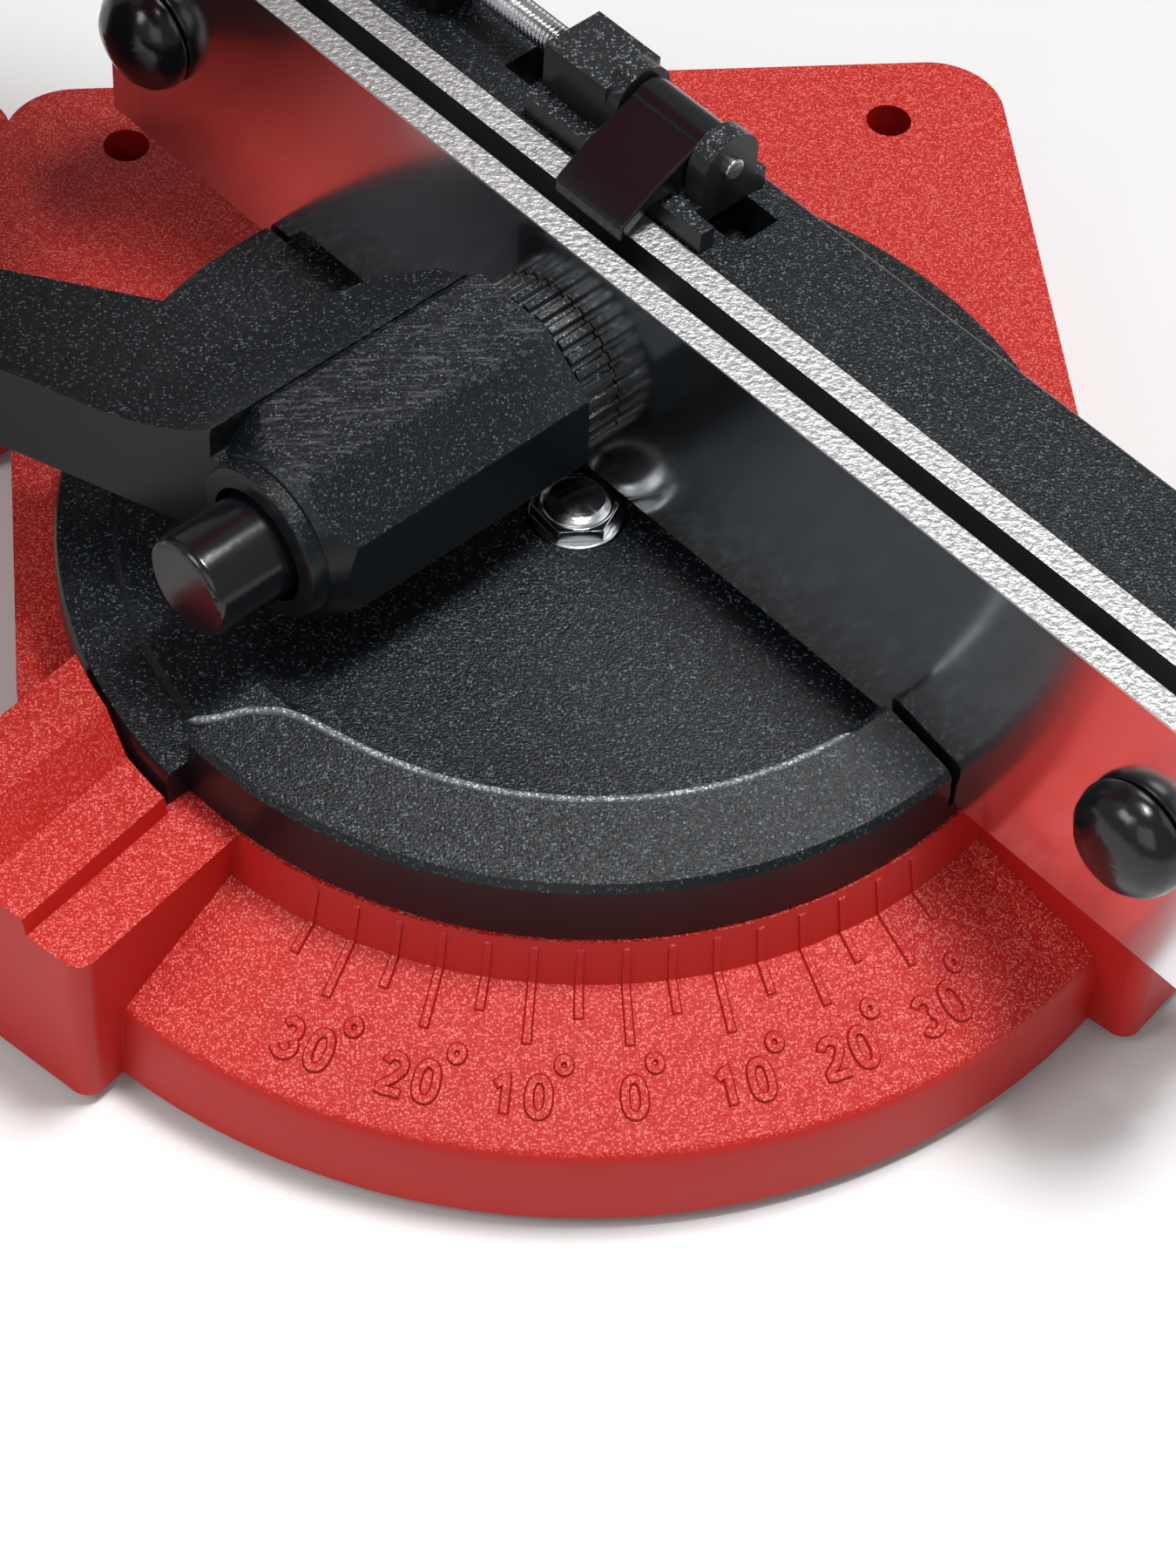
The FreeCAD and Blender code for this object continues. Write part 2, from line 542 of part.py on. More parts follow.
def clamp_hub():
    """Ribbed flange against the front jaw, with a shaft that carries the lever."""
    corners = []
    for rib in range(HUB_RIBS):
        for share, radius in ((0.0, HUB_RADIUS - 0.7), (0.26, HUB_RADIUS - 0.7), (0.40, HUB_RADIUS),
                              (0.86, HUB_RADIUS)):
            angle = 2 * pi * (rib + share) / HUB_RIBS
            corners.append(point(radius * cos(angle), LEVER_INNER + 0.2, radius * sin(angle)))
    flange = prism(corners, point(0, FRONT_JAW[0] - 0.05 - LEVER_INNER - 0.2, 0))
    flange.translate(point(CLAMP_X, 0, CLAMP_Z))
    shaft = rod(HUB_SHAFT_RADIUS, clamp_axis(0), clamp_axis(LEVER_SHOULDER + 2.2))
    bores = [rod(STUD_BORE, clamp_axis(10), clamp_axis(-16)), rod(3, clamp_axis(-15), clamp_axis(-40))]
    return on_swivel(cut(fuse([flange, shaft]), bores))


def lever_pin():
    """Retaining screw of the lever, with a long round head."""
    head = turned([(0, -40.5), (LEVER_PIN_RADIUS, -40.5), (LEVER_PIN_RADIUS, LEVER_PIN_END + 0.7),
                   (LEVER_PIN_RADIUS - 0.7, LEVER_PIN_END), (0, LEVER_PIN_END)], clamp_axis(0), Y_AXIS)
    return on_swivel(fuse([head, rod(3, clamp_axis(-39.5), clamp_axis(-17))]))


def lever_spring():
    return on_swivel(tube(6.2, 3.6, clamp_axis(LEVER_SHOULDER - 0.05), clamp_axis(-40.45)))


def clamp_lever():
    """Eight-sided boss with an arm that leans away from the jaws."""
    boss = prism([point(x, LEVER_INNER, z) for x, z in LEVER_PROFILE],
                 point(0, LEVER_OUTER - LEVER_INNER, 0))
    boss.translate(clamp_axis(0))
    trim = turned([(0, LEVER_INNER), (14.5, LEVER_INNER), (14.5, LEVER_OUTER + 5.5), (10.9, LEVER_OUTER),
                   (0, LEVER_OUTER)], clamp_axis(0), Y_AXIS)
    boss = boss.common(trim)
    nose = turned([(0, LEVER_OUTER + 4), (10.6, LEVER_OUTER + 4), (10.6, LEVER_OUTER - 1.2),
                   (10.1, LEVER_OUTER - 2.1),
                   (9.2, LEVER_OUTER - 2.4), (0, LEVER_OUTER - 2.4)], clamp_axis(0), Y_AXIS)
    lean = radians(ARM_ANGLE)
    reach = (-cos(lean), -sin(lean))
    tip = (CLAMP_X + ARM_LENGTH * reach[0], -22 + ARM_LENGTH * reach[1])
    outline = [(-12, LEVER_INNER - 1.2), (-24.2, LEVER_INNER - 1.2), (-29.0, -8), (-31.5, -17),
               (-36.5, -26),
               (-57.7, -40.6), (tip[0] + 3.0, tip[1] + 5.6), (tip[0] + 0.5, tip[1] + 2.5), (tip[0], tip[1]),
               (tip[0] + 2.5, tip[1] - 3.5), (tip[0] + 7.0, tip[1] - 4.5), (-44.0, -51.9), (-22.4, -44.0),
               (-12, LEVER_OUTER + 1)]
    low = CLAMP_Z - ARM_THICKNESS / 2
    arm = slab(outline, low, low + ARM_THICKNESS)
    shoulder = [(-9.4, 11.7), (-13.5, 9.4), (-18.0, 7.8), (-24.0, 6.9), (-24.0, 0), (-9.4, 0)]
    blend = prism([point(x, 0, z) for x, z in shoulder], point(0, -60, 0))
    blend.translate(clamp_axis(0))
    root = slab(outline, low, CLAMP_Z + 12).common(blend)
    body = fuse([boss, nose, arm, root])
    bores = [rod(LEVER_BORE, clamp_axis(5), clamp_axis(LEVER_SHOULDER + 2)),
             rod(3.3, clamp_axis(5), clamp_axis(-60)),
             rod(7.7, clamp_axis(LEVER_SHOULDER), clamp_axis(-60))]
    return on_swivel(cut(body, bores))


# Chain stop ------------------------------------------------------------------------------------


def stop_carriage():
    """Forked slide on top of the block, keyed in its slot, with a threaded end for the thumb screw."""
    y, z = STOP_PIVOT
    floor = RAIL_TOP + 0.1
    plate = box((STOP_NUT_LEFT, 16.4, floor), (STOP_RIGHT, 30.4, floor + 3))
    key = box((STOP_NUT_LEFT, 20.6, 66.2), (STOP_RIGHT - 4, 27.4, floor + OVERLAP))
    nut = box((STOP_NUT_LEFT, y - 4.6, floor), (STOP_LEFT + OVERLAP, y + 4.6, STOP_SCREW_Z + 4))
    ears = []
    for x in (STOP_LEFT, STOP_RIGHT - STOP_EAR):
        ear = box((x, y - 4.6, floor), (x + STOP_EAR, y + 4.6, z))
        ears.append(fuse([ear, rod(4.6, point(x, y, z), point(x + STOP_EAR, y, z))]))
    lip = box((-8, 15.9, floor), (2.0, 18.2, floor + 3))
    body = fuse([plate, key, nut, lip] + ears)
    holes = [rod(1.5, point(STOP_LEFT - 0.8, y, z), point(STOP_RIGHT + 1, y, z)),
             rod(STOP_SCREW_RADIUS + RUNNING, point(-40, y, STOP_SCREW_Z),
                 point(STOP_LEFT - 1.2, y, STOP_SCREW_Z))]
    return on_swivel(cut(body, holes))


def pawl_pin():
    y, z = STOP_PIVOT
    return on_swivel(rod(1.5, point(STOP_LEFT - 0.8, y, z), point(STOP_RIGHT + 0.8, y, z)))


def stop_pawl():
    """Finger that lies in the gap between the rails, behind a cutter of the chain."""
    y, z = STOP_PIVOT
    left, right = STOP_LEFT + STOP_EAR + CLEARANCE, STOP_RIGHT - STOP_EAR - CLEARANCE
    hub = rod(3.7, point(left, y, z), point(right, y, z))
    outline = [(y - 2, z - 2.9), (14.0, RAIL_TOP + 4.0), (9.2, RAIL_TOP + 0.7), (9.2, RAIL_TOP + 3.2),
               (14.5, RAIL_TOP + 6.6), (y, z + 3.6), (y + 2, z)]
    finger = prism([point(left, a, b) for a, b in outline], point(right - left, 0, 0))
    return on_swivel(fuse([hub, finger]).cut(rod(1.5 + RUNNING, point(-30, y, z), point(10, y, z))))


def stop_screw():
    """Thumb screw that moves the carriage along the rails."""
    y, z = STOP_PIVOT[0], STOP_SCREW_Z
    screw = rod(STOP_SCREW_RADIUS, point(-57, y, z), point(-25, y, z))
    collar = rod(3.2, point(-50.1, y, z), point(-48.4, y, z))
    knob = regular(16, 10.6, point(-64, y, z), X_AXIS, 8)
    return on_swivel(fuse([screw, collar, knob]))


def stop_lug():
    """Ear on the block that holds the thumb screw."""
    y, z = STOP_PIVOT[0], STOP_SCREW_Z
    ear = fuse([box((-55.5, y - 4, 60), (-50.4, y + 4, z)), rod(4, point(-55.5, y, z), point(-50.4, y, z))])
    return ear.cut(rod(STOP_SCREW_RADIUS + RUNNING, point(-60, y, z), point(-40, y, z)))


# Head, drawn lowered ---------------------------------------------------------------------------


def wheel_axis(y):
    return point(0, y, WHEEL_Z)


def polar_xz(radius, degrees):
    return point(radius * cos(radians(degrees)), 0, radius * sin(radians(degrees)))


def round_the_wheel(rod_radius, circle, degrees, near, far):
    """Rod beside the wheel's axis and parallel to it."""
    offset = polar_xz(circle, degrees)
    return rod(rod_radius, wheel_axis(near) + offset, wheel_axis(far) + offset)


def head_housing():
    """Motor tube with an arm back to the hinge barrel."""
    x, z = HINGE
    shell = rod(MOTOR_RADIUS, wheel_axis(MOTOR_FRONT), wheel_axis(MOTOR_BACK))
    arm = box((-98, 58, 92), (-20, 82, 121))
    arm = softened(arm, 4, lambda edge: abs(edge.Vertexes[0].Point.y - edge.Vertexes[-1].Point.y) < 0.01)
    barrel = rod(14, point(x, 57, z), point(x, 72.8, z))
    neck = box((x, 57, 91), (-95, 72.8, 112))
    knuckle = box((-98, 57, 92), (-84, 82, 118))
    body = fuse([shell, arm, barrel, neck, knuckle])
    tools = [rod(MOTOR_RADIUS - 2.6, wheel_axis(MOTOR_FRONT - 1), wheel_axis(MOTOR_BACK + 1)),
             rod(7.5, point(x, 50, z), point(x, 90, z)),
             rod(3.0, point(DEPTH_X, 70, 60), point(DEPTH_X, 70, 140)),
             box((-80, 61, 86), (-40, 79, 116))]
    return on_head(cut(body, tools))


def hinge_bushes():
    x, z = HINGE
    return on_head(group([tube(7.5, HINGE_RADIUS + RUNNING, point(x, 57, z), point(x, 63, z)),
                          tube(7.5, HINGE_RADIUS + RUNNING, point(x, 66.8, z), point(x, 72.8, z))]))


def depth_screw():
    """Depth stop: lands on the bracket's post and sets how low the wheel goes."""
    return on_head(rod(DEPTH_SCREW_RADIUS, point(DEPTH_X, 70, DEPTH_PAD + 0.05), point(DEPTH_X, 70, 131)))


def depth_knob():
    knob = regular(20, 18, point(DEPTH_X, 70, 124.3), Z_AXIS, 9)
    return on_head(knob.cut(rod(DEPTH_SCREW_RADIUS + RUNNING, point(DEPTH_X, 70, 110),
                                point(DEPTH_X, 70, 131 + RUNNING))))


def front_plate():
    """Bearing plate at the wheel end of the motor."""
    plate = rod(MOTOR_RADIUS, wheel_axis(11), wheel_axis(MOTOR_FRONT))
    spigot = rod(MOTOR_RADIUS - 2.65, wheel_axis(MOTOR_FRONT - OVERLAP), wheel_axis(MOTOR_FRONT + 4))
    carrier = rod(16, wheel_axis(MOTOR_FRONT), wheel_axis(27))
    hollow = tube(MOTOR_RADIUS - 5, 16, wheel_axis(MOTOR_FRONT), wheel_axis(30))
    bores = [rod(13, wheel_axis(18), wheel_axis(30)), rod(8, wheel_axis(5), wheel_axis(30)), hollow]
    bores += [round_the_wheel(2, GUARD_SCREW_CIRCLE, angle, 5, 30) for angle in GUARD_SCREWS]
    return on_head(cut(fuse([plate, spigot, carrier]), bores))


def rear_cap():
    shell = turned([(0, MOTOR_BACK), (MOTOR_RADIUS, MOTOR_BACK), (MOTOR_RADIUS, CAP_BACK - 5),
                    (MOTOR_RADIUS - 5, CAP_BACK), (0, CAP_BACK)], wheel_axis(0), Y_AXIS)
    hollow = turned([(0, MOTOR_BACK - 1), (MOTOR_RADIUS - 3, MOTOR_BACK - 1),
                     (MOTOR_RADIUS - 3, CAP_BACK - 6),
                     (MOTOR_RADIUS - 6, CAP_BACK - 2.5), (0, CAP_BACK - 2.5)], wheel_axis(0), Y_AXIS)
    carrier = tube(12.5, 9.5, wheel_axis(MOTOR_BACK - 4), wheel_axis(CAP_BACK - 2))
    slots = []
    for row in range(5):
        height = WHEEL_Z - 20 + row * 5
        slots.append(box((-22, CAP_BACK - 8, height), (-4, CAP_BACK + 1, height + 2.2)))
        slots.append(box((4, CAP_BACK - 8, height), (22, CAP_BACK + 1, height + 2.2)))
    slots.append(rod(5, point(0, CAP_BACK - 8, WHEEL_Z + 22), point(0, CAP_BACK + 1, WHEEL_Z + 22)))
    shell = cut(shell, [hollow] + slots)
    return on_head(fuse([shell, carrier]))


def cable_gland():
    start = point(0, CAP_BACK - 4, WHEEL_Z + 22)
    return on_head(turned([(2.6, 0), (5, 0), (5, 4), (7.5, 4), (7.5, 7), (5.2, 9), (4.6, 16), (2.6, 16)],
                          start, Y_AXIS))


def stator():
    return on_head(tube(MOTOR_RADIUS - 2.65, 23, wheel_axis(42), wheel_axis(76)))


def front_bearing():
    return on_head(tube(13, SHAFT_RADIUS + RUNNING, wheel_axis(18), wheel_axis(27)))


def rear_bearing():
    return on_head(tube(9.5, SHAFT_RADIUS - 1 + RUNNING, wheel_axis(MOTOR_BACK - 4),
                        wheel_axis(MOTOR_BACK + 3)))


def brush_holders():
    holders = []
    for side in (-1, 1):
        frame = box((min(side * 13, side * 33), 82, WHEEL_Z - 5),
                    (max(side * 13, side * 33), 92, WHEEL_Z + 5))
        channel = box((min(side * 12, side * 31), 84, WHEEL_Z - 3),
                      (max(side * 12, side * 31), 90, WHEEL_Z + 3))
        holders.append(frame.cut(channel))
    return on_head(group(holders))


def carbon_brushes():
    return on_head(group([box((min(side * 11.6, side * 24), 84.1, WHEEL_Z - 2.9),
                              (max(side * 11.6, side * 24), 89.9, WHEEL_Z + 2.9)) for side in (-1, 1)]))


def spindle():
    shaft = rod(SHAFT_RADIUS, wheel_axis(-13), wheel_axis(96))
    return on_head(fuse([shaft, rod(SHAFT_RADIUS - 1, wheel_axis(95), wheel_axis(104))]))


def rotor():
    core = tube(22.4, SHAFT_RADIUS, wheel_axis(42), wheel_axis(76))
    slots = [round_the_wheel(2.2, 21.5, 30 * index, 40, 78)
             for index in range(12)]
    return on_head(cut(core, slots))


def commutator():
    return on_head(tube(11.3, SHAFT_RADIUS, wheel_axis(82), wheel_axis(92)))


def cooling_fan():
    hub = tube(9, SHAFT_RADIUS, wheel_axis(29), wheel_axis(38))
    disc = tube(28, 8, wheel_axis(29), wheel_axis(30.5))
    blades = []
    for index in range(9):
        blade = box((8.5, 29.5, -0.8), (27, 37, 0.8))
        blade.rotate(ORIGIN, Y_AXIS, 40 * index)
        blade.translate(point(0, 0, WHEEL_Z))
        blades.append(blade)
    return on_head(fuse([hub, disc] + blades))


def inner_flange():
    half = WHEEL_THICKNESS / 2
    return on_head(turned([(SHAFT_RADIUS, 7.5), (SHAFT_RADIUS, -half + 0.2), (WHEEL_BORE / 2, -half + 0.2),
                           (WHEEL_BORE / 2, half), (17, half), (17, half + 2.4), (8.5, 5.5), (7.5, 7.5)],
                          wheel_axis(0), Y_AXIS))


def grinding_wheel():
    half = WHEEL_THICKNESS / 2
    rim = WHEEL_DIAMETER / 2
    return on_head(turned([(WHEEL_BORE / 2, -half), (rim - 1, -half), (rim, -half + 0.9), (rim, half - 0.9),
                           (rim - 1, half), (WHEEL_BORE / 2, half)], wheel_axis(0), Y_AXIS))


def outer_flange():
    half = WHEEL_THICKNESS / 2
    return on_head(turned([(SHAFT_RADIUS, -half), (17, -half), (17, -half - 1.6), (14, -half - 3),
                           (SHAFT_RADIUS, -half - 3)],
                          wheel_axis(0), Y_AXIS))


def spindle_nut():
    nut = regular(6, 17, wheel_axis(-WHEEL_THICKNESS / 2 - 3), point(0, -1, 0), 6.5)
    return on_head(nut.cut(rod(SHAFT_RADIUS, wheel_axis(0), wheel_axis(-13))))


def guard_blank(radius, near, far):
    """Round disc with its lower part cut away."""
    disc = rod(radius, wheel_axis(near), wheel_axis(far))
    low = WHEEL_Z - GUARD_OPENING
    return disc.cut(box((-80, near - 1, 0), (80, far + 1, low)))


def guard_rear():
    """Back plate and rim of the wheel guard."""
    wall = guard_blank(GUARD_RADIUS, -12, 11).cut(rod(GUARD_RADIUS - 2.2, wheel_axis(-13), wheel_axis(8.6)))
    holes = [rod(18.5, wheel_axis(5), wheel_axis(12))]
    holes += [round_the_wheel(2, GUARD_SCREW_CIRCLE, angle, 5, 12) for angle in GUARD_SCREWS[:2]]
    lugs = [round_the_wheel(4, GUARD_RADIUS, angle, -12, 11)
            for angle in COVER_SCREWS]
    lugs = [lug.cut(rod(GUARD_RADIUS - 2.1, wheel_axis(-13), wheel_axis(9))) for lug in lugs]
    holes += [round_the_wheel(1.4, COVER_SCREW_CIRCLE, angle, -13, 4)
              for angle in COVER_SCREWS]
    return on_head(cut(fuse([wall] + lugs), holes))


def guard_cover():
    """Front cover of the wheel guard."""
    plate = guard_blank(GUARD_RADIUS, -14.2, -12)
    bulge = turned([(0, -14), (22, -14), (19, -17.2), (0, -17.2)], wheel_axis(0), Y_AXIS)
    hollow = turned([(0, -11), (20.5, -11), (20.5, -14), (17.6, -15.4), (0, -15.4)], wheel_axis(0), Y_AXIS)
    lugs = [round_the_wheel(4, GUARD_RADIUS, angle, -14.2, -12)
            for angle in COVER_SCREWS]
    holes = [round_the_wheel(1.7, COVER_SCREW_CIRCLE, angle, -16, -8)
             for angle in COVER_SCREWS]
    return on_head(cut(fuse([plate, bulge] + lugs), [hollow] + holes))


def guard_screws():
    screws = []
    for angle in COVER_SCREWS:
        seat = wheel_axis(-14.2) + polar_xz(COVER_SCREW_CIRCLE, angle)
        head = turned([(0, 0), (3, 0), (2.7, 1.3), (1.5, 2.0), (0, 2.0)], seat, point(0, -1, 0))
        screws.append(fuse([head, rod(1.4, seat, seat + Y_AXIS * 15)]))
    for angle in GUARD_SCREWS[:2]:
        seat = wheel_axis(8.6) + polar_xz(GUARD_SCREW_CIRCLE, angle)
        head = turned([(0, 0), (3.5, 0), (3.1, 1.4), (0, 1.8)], seat, point(0, -1, 0))
        screws.append(fuse([head, rod(2, seat, wheel_axis(19) + polar_xz(GUARD_SCREW_CIRCLE, angle))]))
    return on_head(group(screws))


def handle_blank():
    """Grip that leaves the motor sideways and ends in a rounded stop."""
    outline = [(33, WHEEL_Z - 17), (48, WHEEL_Z - 14), (100, WHEEL_Z - 12.5), (118, WHEEL_Z - 16),
               (128, WHEEL_Z - 14),
               (HANDLE_END, WHEEL_Z - 6), (HANDLE_END, WHEEL_Z + 8), (126, WHEEL_Z + 15),
               (96, WHEEL_Z + 15.5),
               (52, WHEEL_Z + 17), (33, WHEEL_Z + 20)]
    body = prism([point(x, HANDLE_Y[0], z) for x, z in outline], point(0, HANDLE_Y[1] - HANDLE_Y[0], 0))
    body = softened(body, 6.5,
                    lambda edge: abs(edge.CenterOfMass.y - HANDLE_MIDDLE) > 14 and edge.CenterOfMass.x > 34)
    return body.cut(rod(MOTOR_RADIUS, wheel_axis(40), wheel_axis(80)))


def handle_hollow():
    return box((42, 50, WHEEL_Z - 8), (122, 68, WHEEL_Z + 9))


def handle_lower():
    lower = box((0, 30, 60), (160, 90, WHEEL_Z))
    shell = handle_blank().common(lower).cut(handle_hollow())
    bosses, bores = [], []
    for x in HANDLE_SCREWS:
        bosses.append(rod(4.5, point(x, HANDLE_MIDDLE, WHEEL_Z - 9), point(x, HANDLE_MIDDLE, WHEEL_Z)))
        bores.append(rod(1.8, point(x, HANDLE_MIDDLE, 80), point(x, HANDLE_MIDDLE, WHEEL_Z + 1)))
        bores.append(rod(3.2, point(x, HANDLE_MIDDLE, 80), point(x, HANDLE_MIDDLE, WHEEL_Z - 10.5)))
    return on_head(cut(fuse([shell] + bosses), bores))


def handle_upper():
    upper = box((0, 30, WHEEL_Z), (160, 90, 180))
    window = box((SWITCH[0], SWITCH[2], WHEEL_Z), (SWITCH[1], SWITCH[3], 180))
    shell = cut(handle_blank().common(upper), [handle_hollow(), window])
    bosses = [rod(4.5, point(x, HANDLE_MIDDLE, WHEEL_Z),
                  point(x, HANDLE_MIDDLE, WHEEL_Z + 10)) for x in HANDLE_SCREWS]
    bores = [rod(1.6, point(x, HANDLE_MIDDLE, WHEEL_Z - 1),
                 point(x, HANDLE_MIDDLE, WHEEL_Z + 9)) for x in HANDLE_SCREWS]
    return on_head(cut(fuse([shell] + bosses), bores))


def handle_screws():
    screws = []
    for x in HANDLE_SCREWS:
        head = rod(3, point(x, HANDLE_MIDDLE, WHEEL_Z - 13), point(x, HANDLE_MIDDLE, WHEEL_Z - 10.5))
        screws.append(fuse([head, rod(1.6, point(x, HANDLE_MIDDLE, WHEEL_Z - 11),
                                      point(x, HANDLE_MIDDLE, WHEEL_Z + 9))]))
    return on_head(group(screws))


def switch_body():
    x0, x1, y0, y1 = SWITCH
    top = WHEEL_Z + 17.6
    frame = box((x0 + 0.2, y0 + 0.2, WHEEL_Z - 2), (x1 - 0.2, y1 - 0.2, top))
    well = box((x0 + 2.6, y0 + 2.6, top - 9), (x1 - 2.6, y1 - 2.6, top + 1))
    middle = (x0 + x1) / 2
    sockets = rod(TRUNNION_RADIUS + RUNNING, point(middle, y0 + 1.6, top - 4),
                  point(middle, y1 - 1.6, top - 4))
    return on_head(cut(frame, [well, sockets]))


def switch_rocker():
    """Rocker shown in its off position."""
    x0, x1, y0, y1 = SWITCH
    middle = (x0 + x1) / 2
    top = WHEEL_Z + 17.6
    half = (x1 - x0) / 2 - 3.4
    outline = [(-half, -4.5), (half, -4.5), (half + 0.2, 1.2), (0, 0.2), (-half - 0.2, 1.2)]
    rocker = prism([point(middle + a, y0 + 3, top - 2 + b) for a, b in outline], point(0, y1 - y0 - 6, 0))
    rocker.rotate(point(middle, 0, top - 4), Y_AXIS, ROCKER_TILT)
    trunnions = rod(TRUNNION_RADIUS, point(middle, y0 + 1.8, top - 4), point(middle, y1 - 1.8, top - 4))
    return on_head(fuse([rocker, trunnions]))


PARTS = {
    "base_shell": base_shell, "rubber_feet": rubber_feet, "thrust_washer": thrust_washer,
    "hinge_bracket": hinge_bracket, "bracket_screws": bracket_screws, "hinge_pin": hinge_pin,
    "hinge_nut": hinge_nut, "hinge_spring": hinge_spring,
    "turntable": turntable, "rear_jaw": rear_jaw, "rear_jaw_screws": rear_jaw_screws,
    "guide_screws": guide_screws, "clamp_stud": clamp_stud, "pivot_bolt": pivot_bolt,
    "pivot_washer": pivot_washer, "detent_ball": detent_ball, "detent_spring": detent_spring,
    "front_jaw": front_jaw, "jaw_springs": jaw_springs,
    "clamp_hub": clamp_hub, "lever_pin": lever_pin, "lever_spring": lever_spring,
    "clamp_lever": clamp_lever,
    "lock_knob": lock_knob, "lock_insert": lock_insert,
    "stop_carriage": stop_carriage, "pawl_pin": pawl_pin, "stop_pawl": stop_pawl, "stop_screw": stop_screw,
    "head_housing": head_housing, "hinge_bushes": hinge_bushes, "front_plate": front_plate,
    "rear_cap": rear_cap, "cable_gland": cable_gland, "stator": stator, "front_bearing": front_bearing,
    "rear_bearing": rear_bearing, "brush_holders": brush_holders, "carbon_brushes": carbon_brushes,
    "guard_rear": guard_rear, "guard_cover": guard_cover, "guard_screws": guard_screws,
    "handle_lower": handle_lower, "handle_upper": handle_upper, "handle_screws": handle_screws,
    "switch_body": switch_body, "switch_rocker": switch_rocker,
    "spindle": spindle, "rotor": rotor, "commutator": commutator, "cooling_fan": cooling_fan,
    "inner_flange": inner_flange, "grinding_wheel": grinding_wheel, "outer_flange": outer_flange,
    "spindle_nut": spindle_nut, "depth_screw": depth_screw, "depth_knob": depth_knob,
}

os.makedirs("parts", exist_ok=True)
for name, build in PARTS.items():
    save(name, build())
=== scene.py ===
import math

import bmesh
import bpy
import numpy as np
from mathutils import Matrix, Vector


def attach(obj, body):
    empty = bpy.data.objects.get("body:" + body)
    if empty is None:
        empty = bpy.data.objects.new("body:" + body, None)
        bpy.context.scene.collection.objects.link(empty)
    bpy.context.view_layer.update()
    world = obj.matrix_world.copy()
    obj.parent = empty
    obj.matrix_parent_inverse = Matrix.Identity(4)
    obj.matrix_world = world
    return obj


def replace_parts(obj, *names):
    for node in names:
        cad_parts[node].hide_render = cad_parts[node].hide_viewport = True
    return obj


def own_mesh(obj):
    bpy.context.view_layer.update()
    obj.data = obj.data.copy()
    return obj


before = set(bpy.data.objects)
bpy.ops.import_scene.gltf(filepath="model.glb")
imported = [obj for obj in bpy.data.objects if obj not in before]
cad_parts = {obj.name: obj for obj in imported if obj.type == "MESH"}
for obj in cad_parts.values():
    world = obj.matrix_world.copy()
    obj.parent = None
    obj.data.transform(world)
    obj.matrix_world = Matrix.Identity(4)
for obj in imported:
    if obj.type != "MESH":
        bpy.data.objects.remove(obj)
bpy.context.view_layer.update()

scene = bpy.context.scene

# Camera, floor and studio light.
# A long lens looks down over the scale and the vise. The floor is a seamless pale sheet, the key light is a
# soft box almost overhead, and two weak boxes fill the front and the left.
azimuth, elevation, roll = math.radians(-9.6375), math.radians(51.3802), math.radians(4.7344)
flat = math.cos(elevation)
back = Vector((math.sin(azimuth) * flat, -math.cos(azimuth) * flat, math.sin(elevation)))
right = Vector((math.cos(azimuth), math.sin(azimuth), 0))
up = back.cross(right)
cam_right = math.cos(roll) * right + math.sin(roll) * up
cam_up = -math.sin(roll) * right + math.cos(roll) * up
look_at, distance = Vector((-0.00131, -0.03342, 0.022)), 0.512
eye = look_at + back * distance
camera_data = bpy.data.cameras.new("camera")
camera_data.lens = 95.15
camera_data.sensor_width = 36
camera_data.clip_start, camera_data.clip_end = 0.01, 20
camera = bpy.data.objects.new("camera", camera_data)
camera.matrix_world = Matrix((
    (cam_right.x, cam_up.x, back.x, eye.x),
    (cam_right.y, cam_up.y, back.y, eye.y),
    (cam_right.z, cam_up.z, back.z, eye.z),
    (0, 0, 0, 1)))
scene.collection.objects.link(camera)
scene.camera = camera


def soft_box(name, place, target, size, power, tint=(1, 1, 1)):
    """A square area light at place, in metres, that faces the target."""
    data = bpy.data.lights.new(name, "AREA")
    data.size, data.energy, data.color = size, power, tint
    lamp = bpy.data.objects.new(name, data)
    lamp.location = place
    lamp.rotation_euler = (Vector(place) - Vector(target)).to_track_quat("Z", "Y").to_euler()
    scene.collection.objects.link(lamp)


soft_box("key", (0.24, 0.04, 1.26), (0, 0, 0.03), 0.30, 16)
soft_box("front_fill", (-0.25, -1.1, 0.75), (0, 0, 0.03), 0.8, 2.2)
soft_box("left_fill", (-0.85, -0.32, 0.95), (0, 0, 0.05), 0.5, 4.5)
world = bpy.data.worlds.new("studio")
world.use_nodes = True
world.node_tree.nodes["Background"].inputs["Color"].default_value = (1, 1, 1, 1)
world.node_tree.nodes["Background"].inputs["Strength"].default_value = 0.30
scene.world = world
scene.view_settings.view_transform = "Standard"


def new_material(name, **sockets):
    """An empty Principled material; sockets are written with _ for a space, such as Coat_Weight."""
    material = bpy.data.materials.new(name)
    material.use_nodes = True
    shader = material.node_tree.nodes["Principled BSDF"]
    for socket, value in sockets.items():
        shader.inputs[socket.replace("_", " ")].default_value = value
    return material, material.node_tree, shader


def add(tree, kind, inputs=(), **settings):
    """Adds a node. Inputs maps a socket's name or number to a value or to another node's output."""
    node = tree.nodes.new(kind)
    for name, value in settings.items():
        setattr(node, name, value)
    for socket, value in dict(inputs).items():
        if isinstance(value, bpy.types.NodeSocket):
            tree.links.new(value, node.inputs[socket])
        else:
            node.inputs[socket].default_value = value
    return node


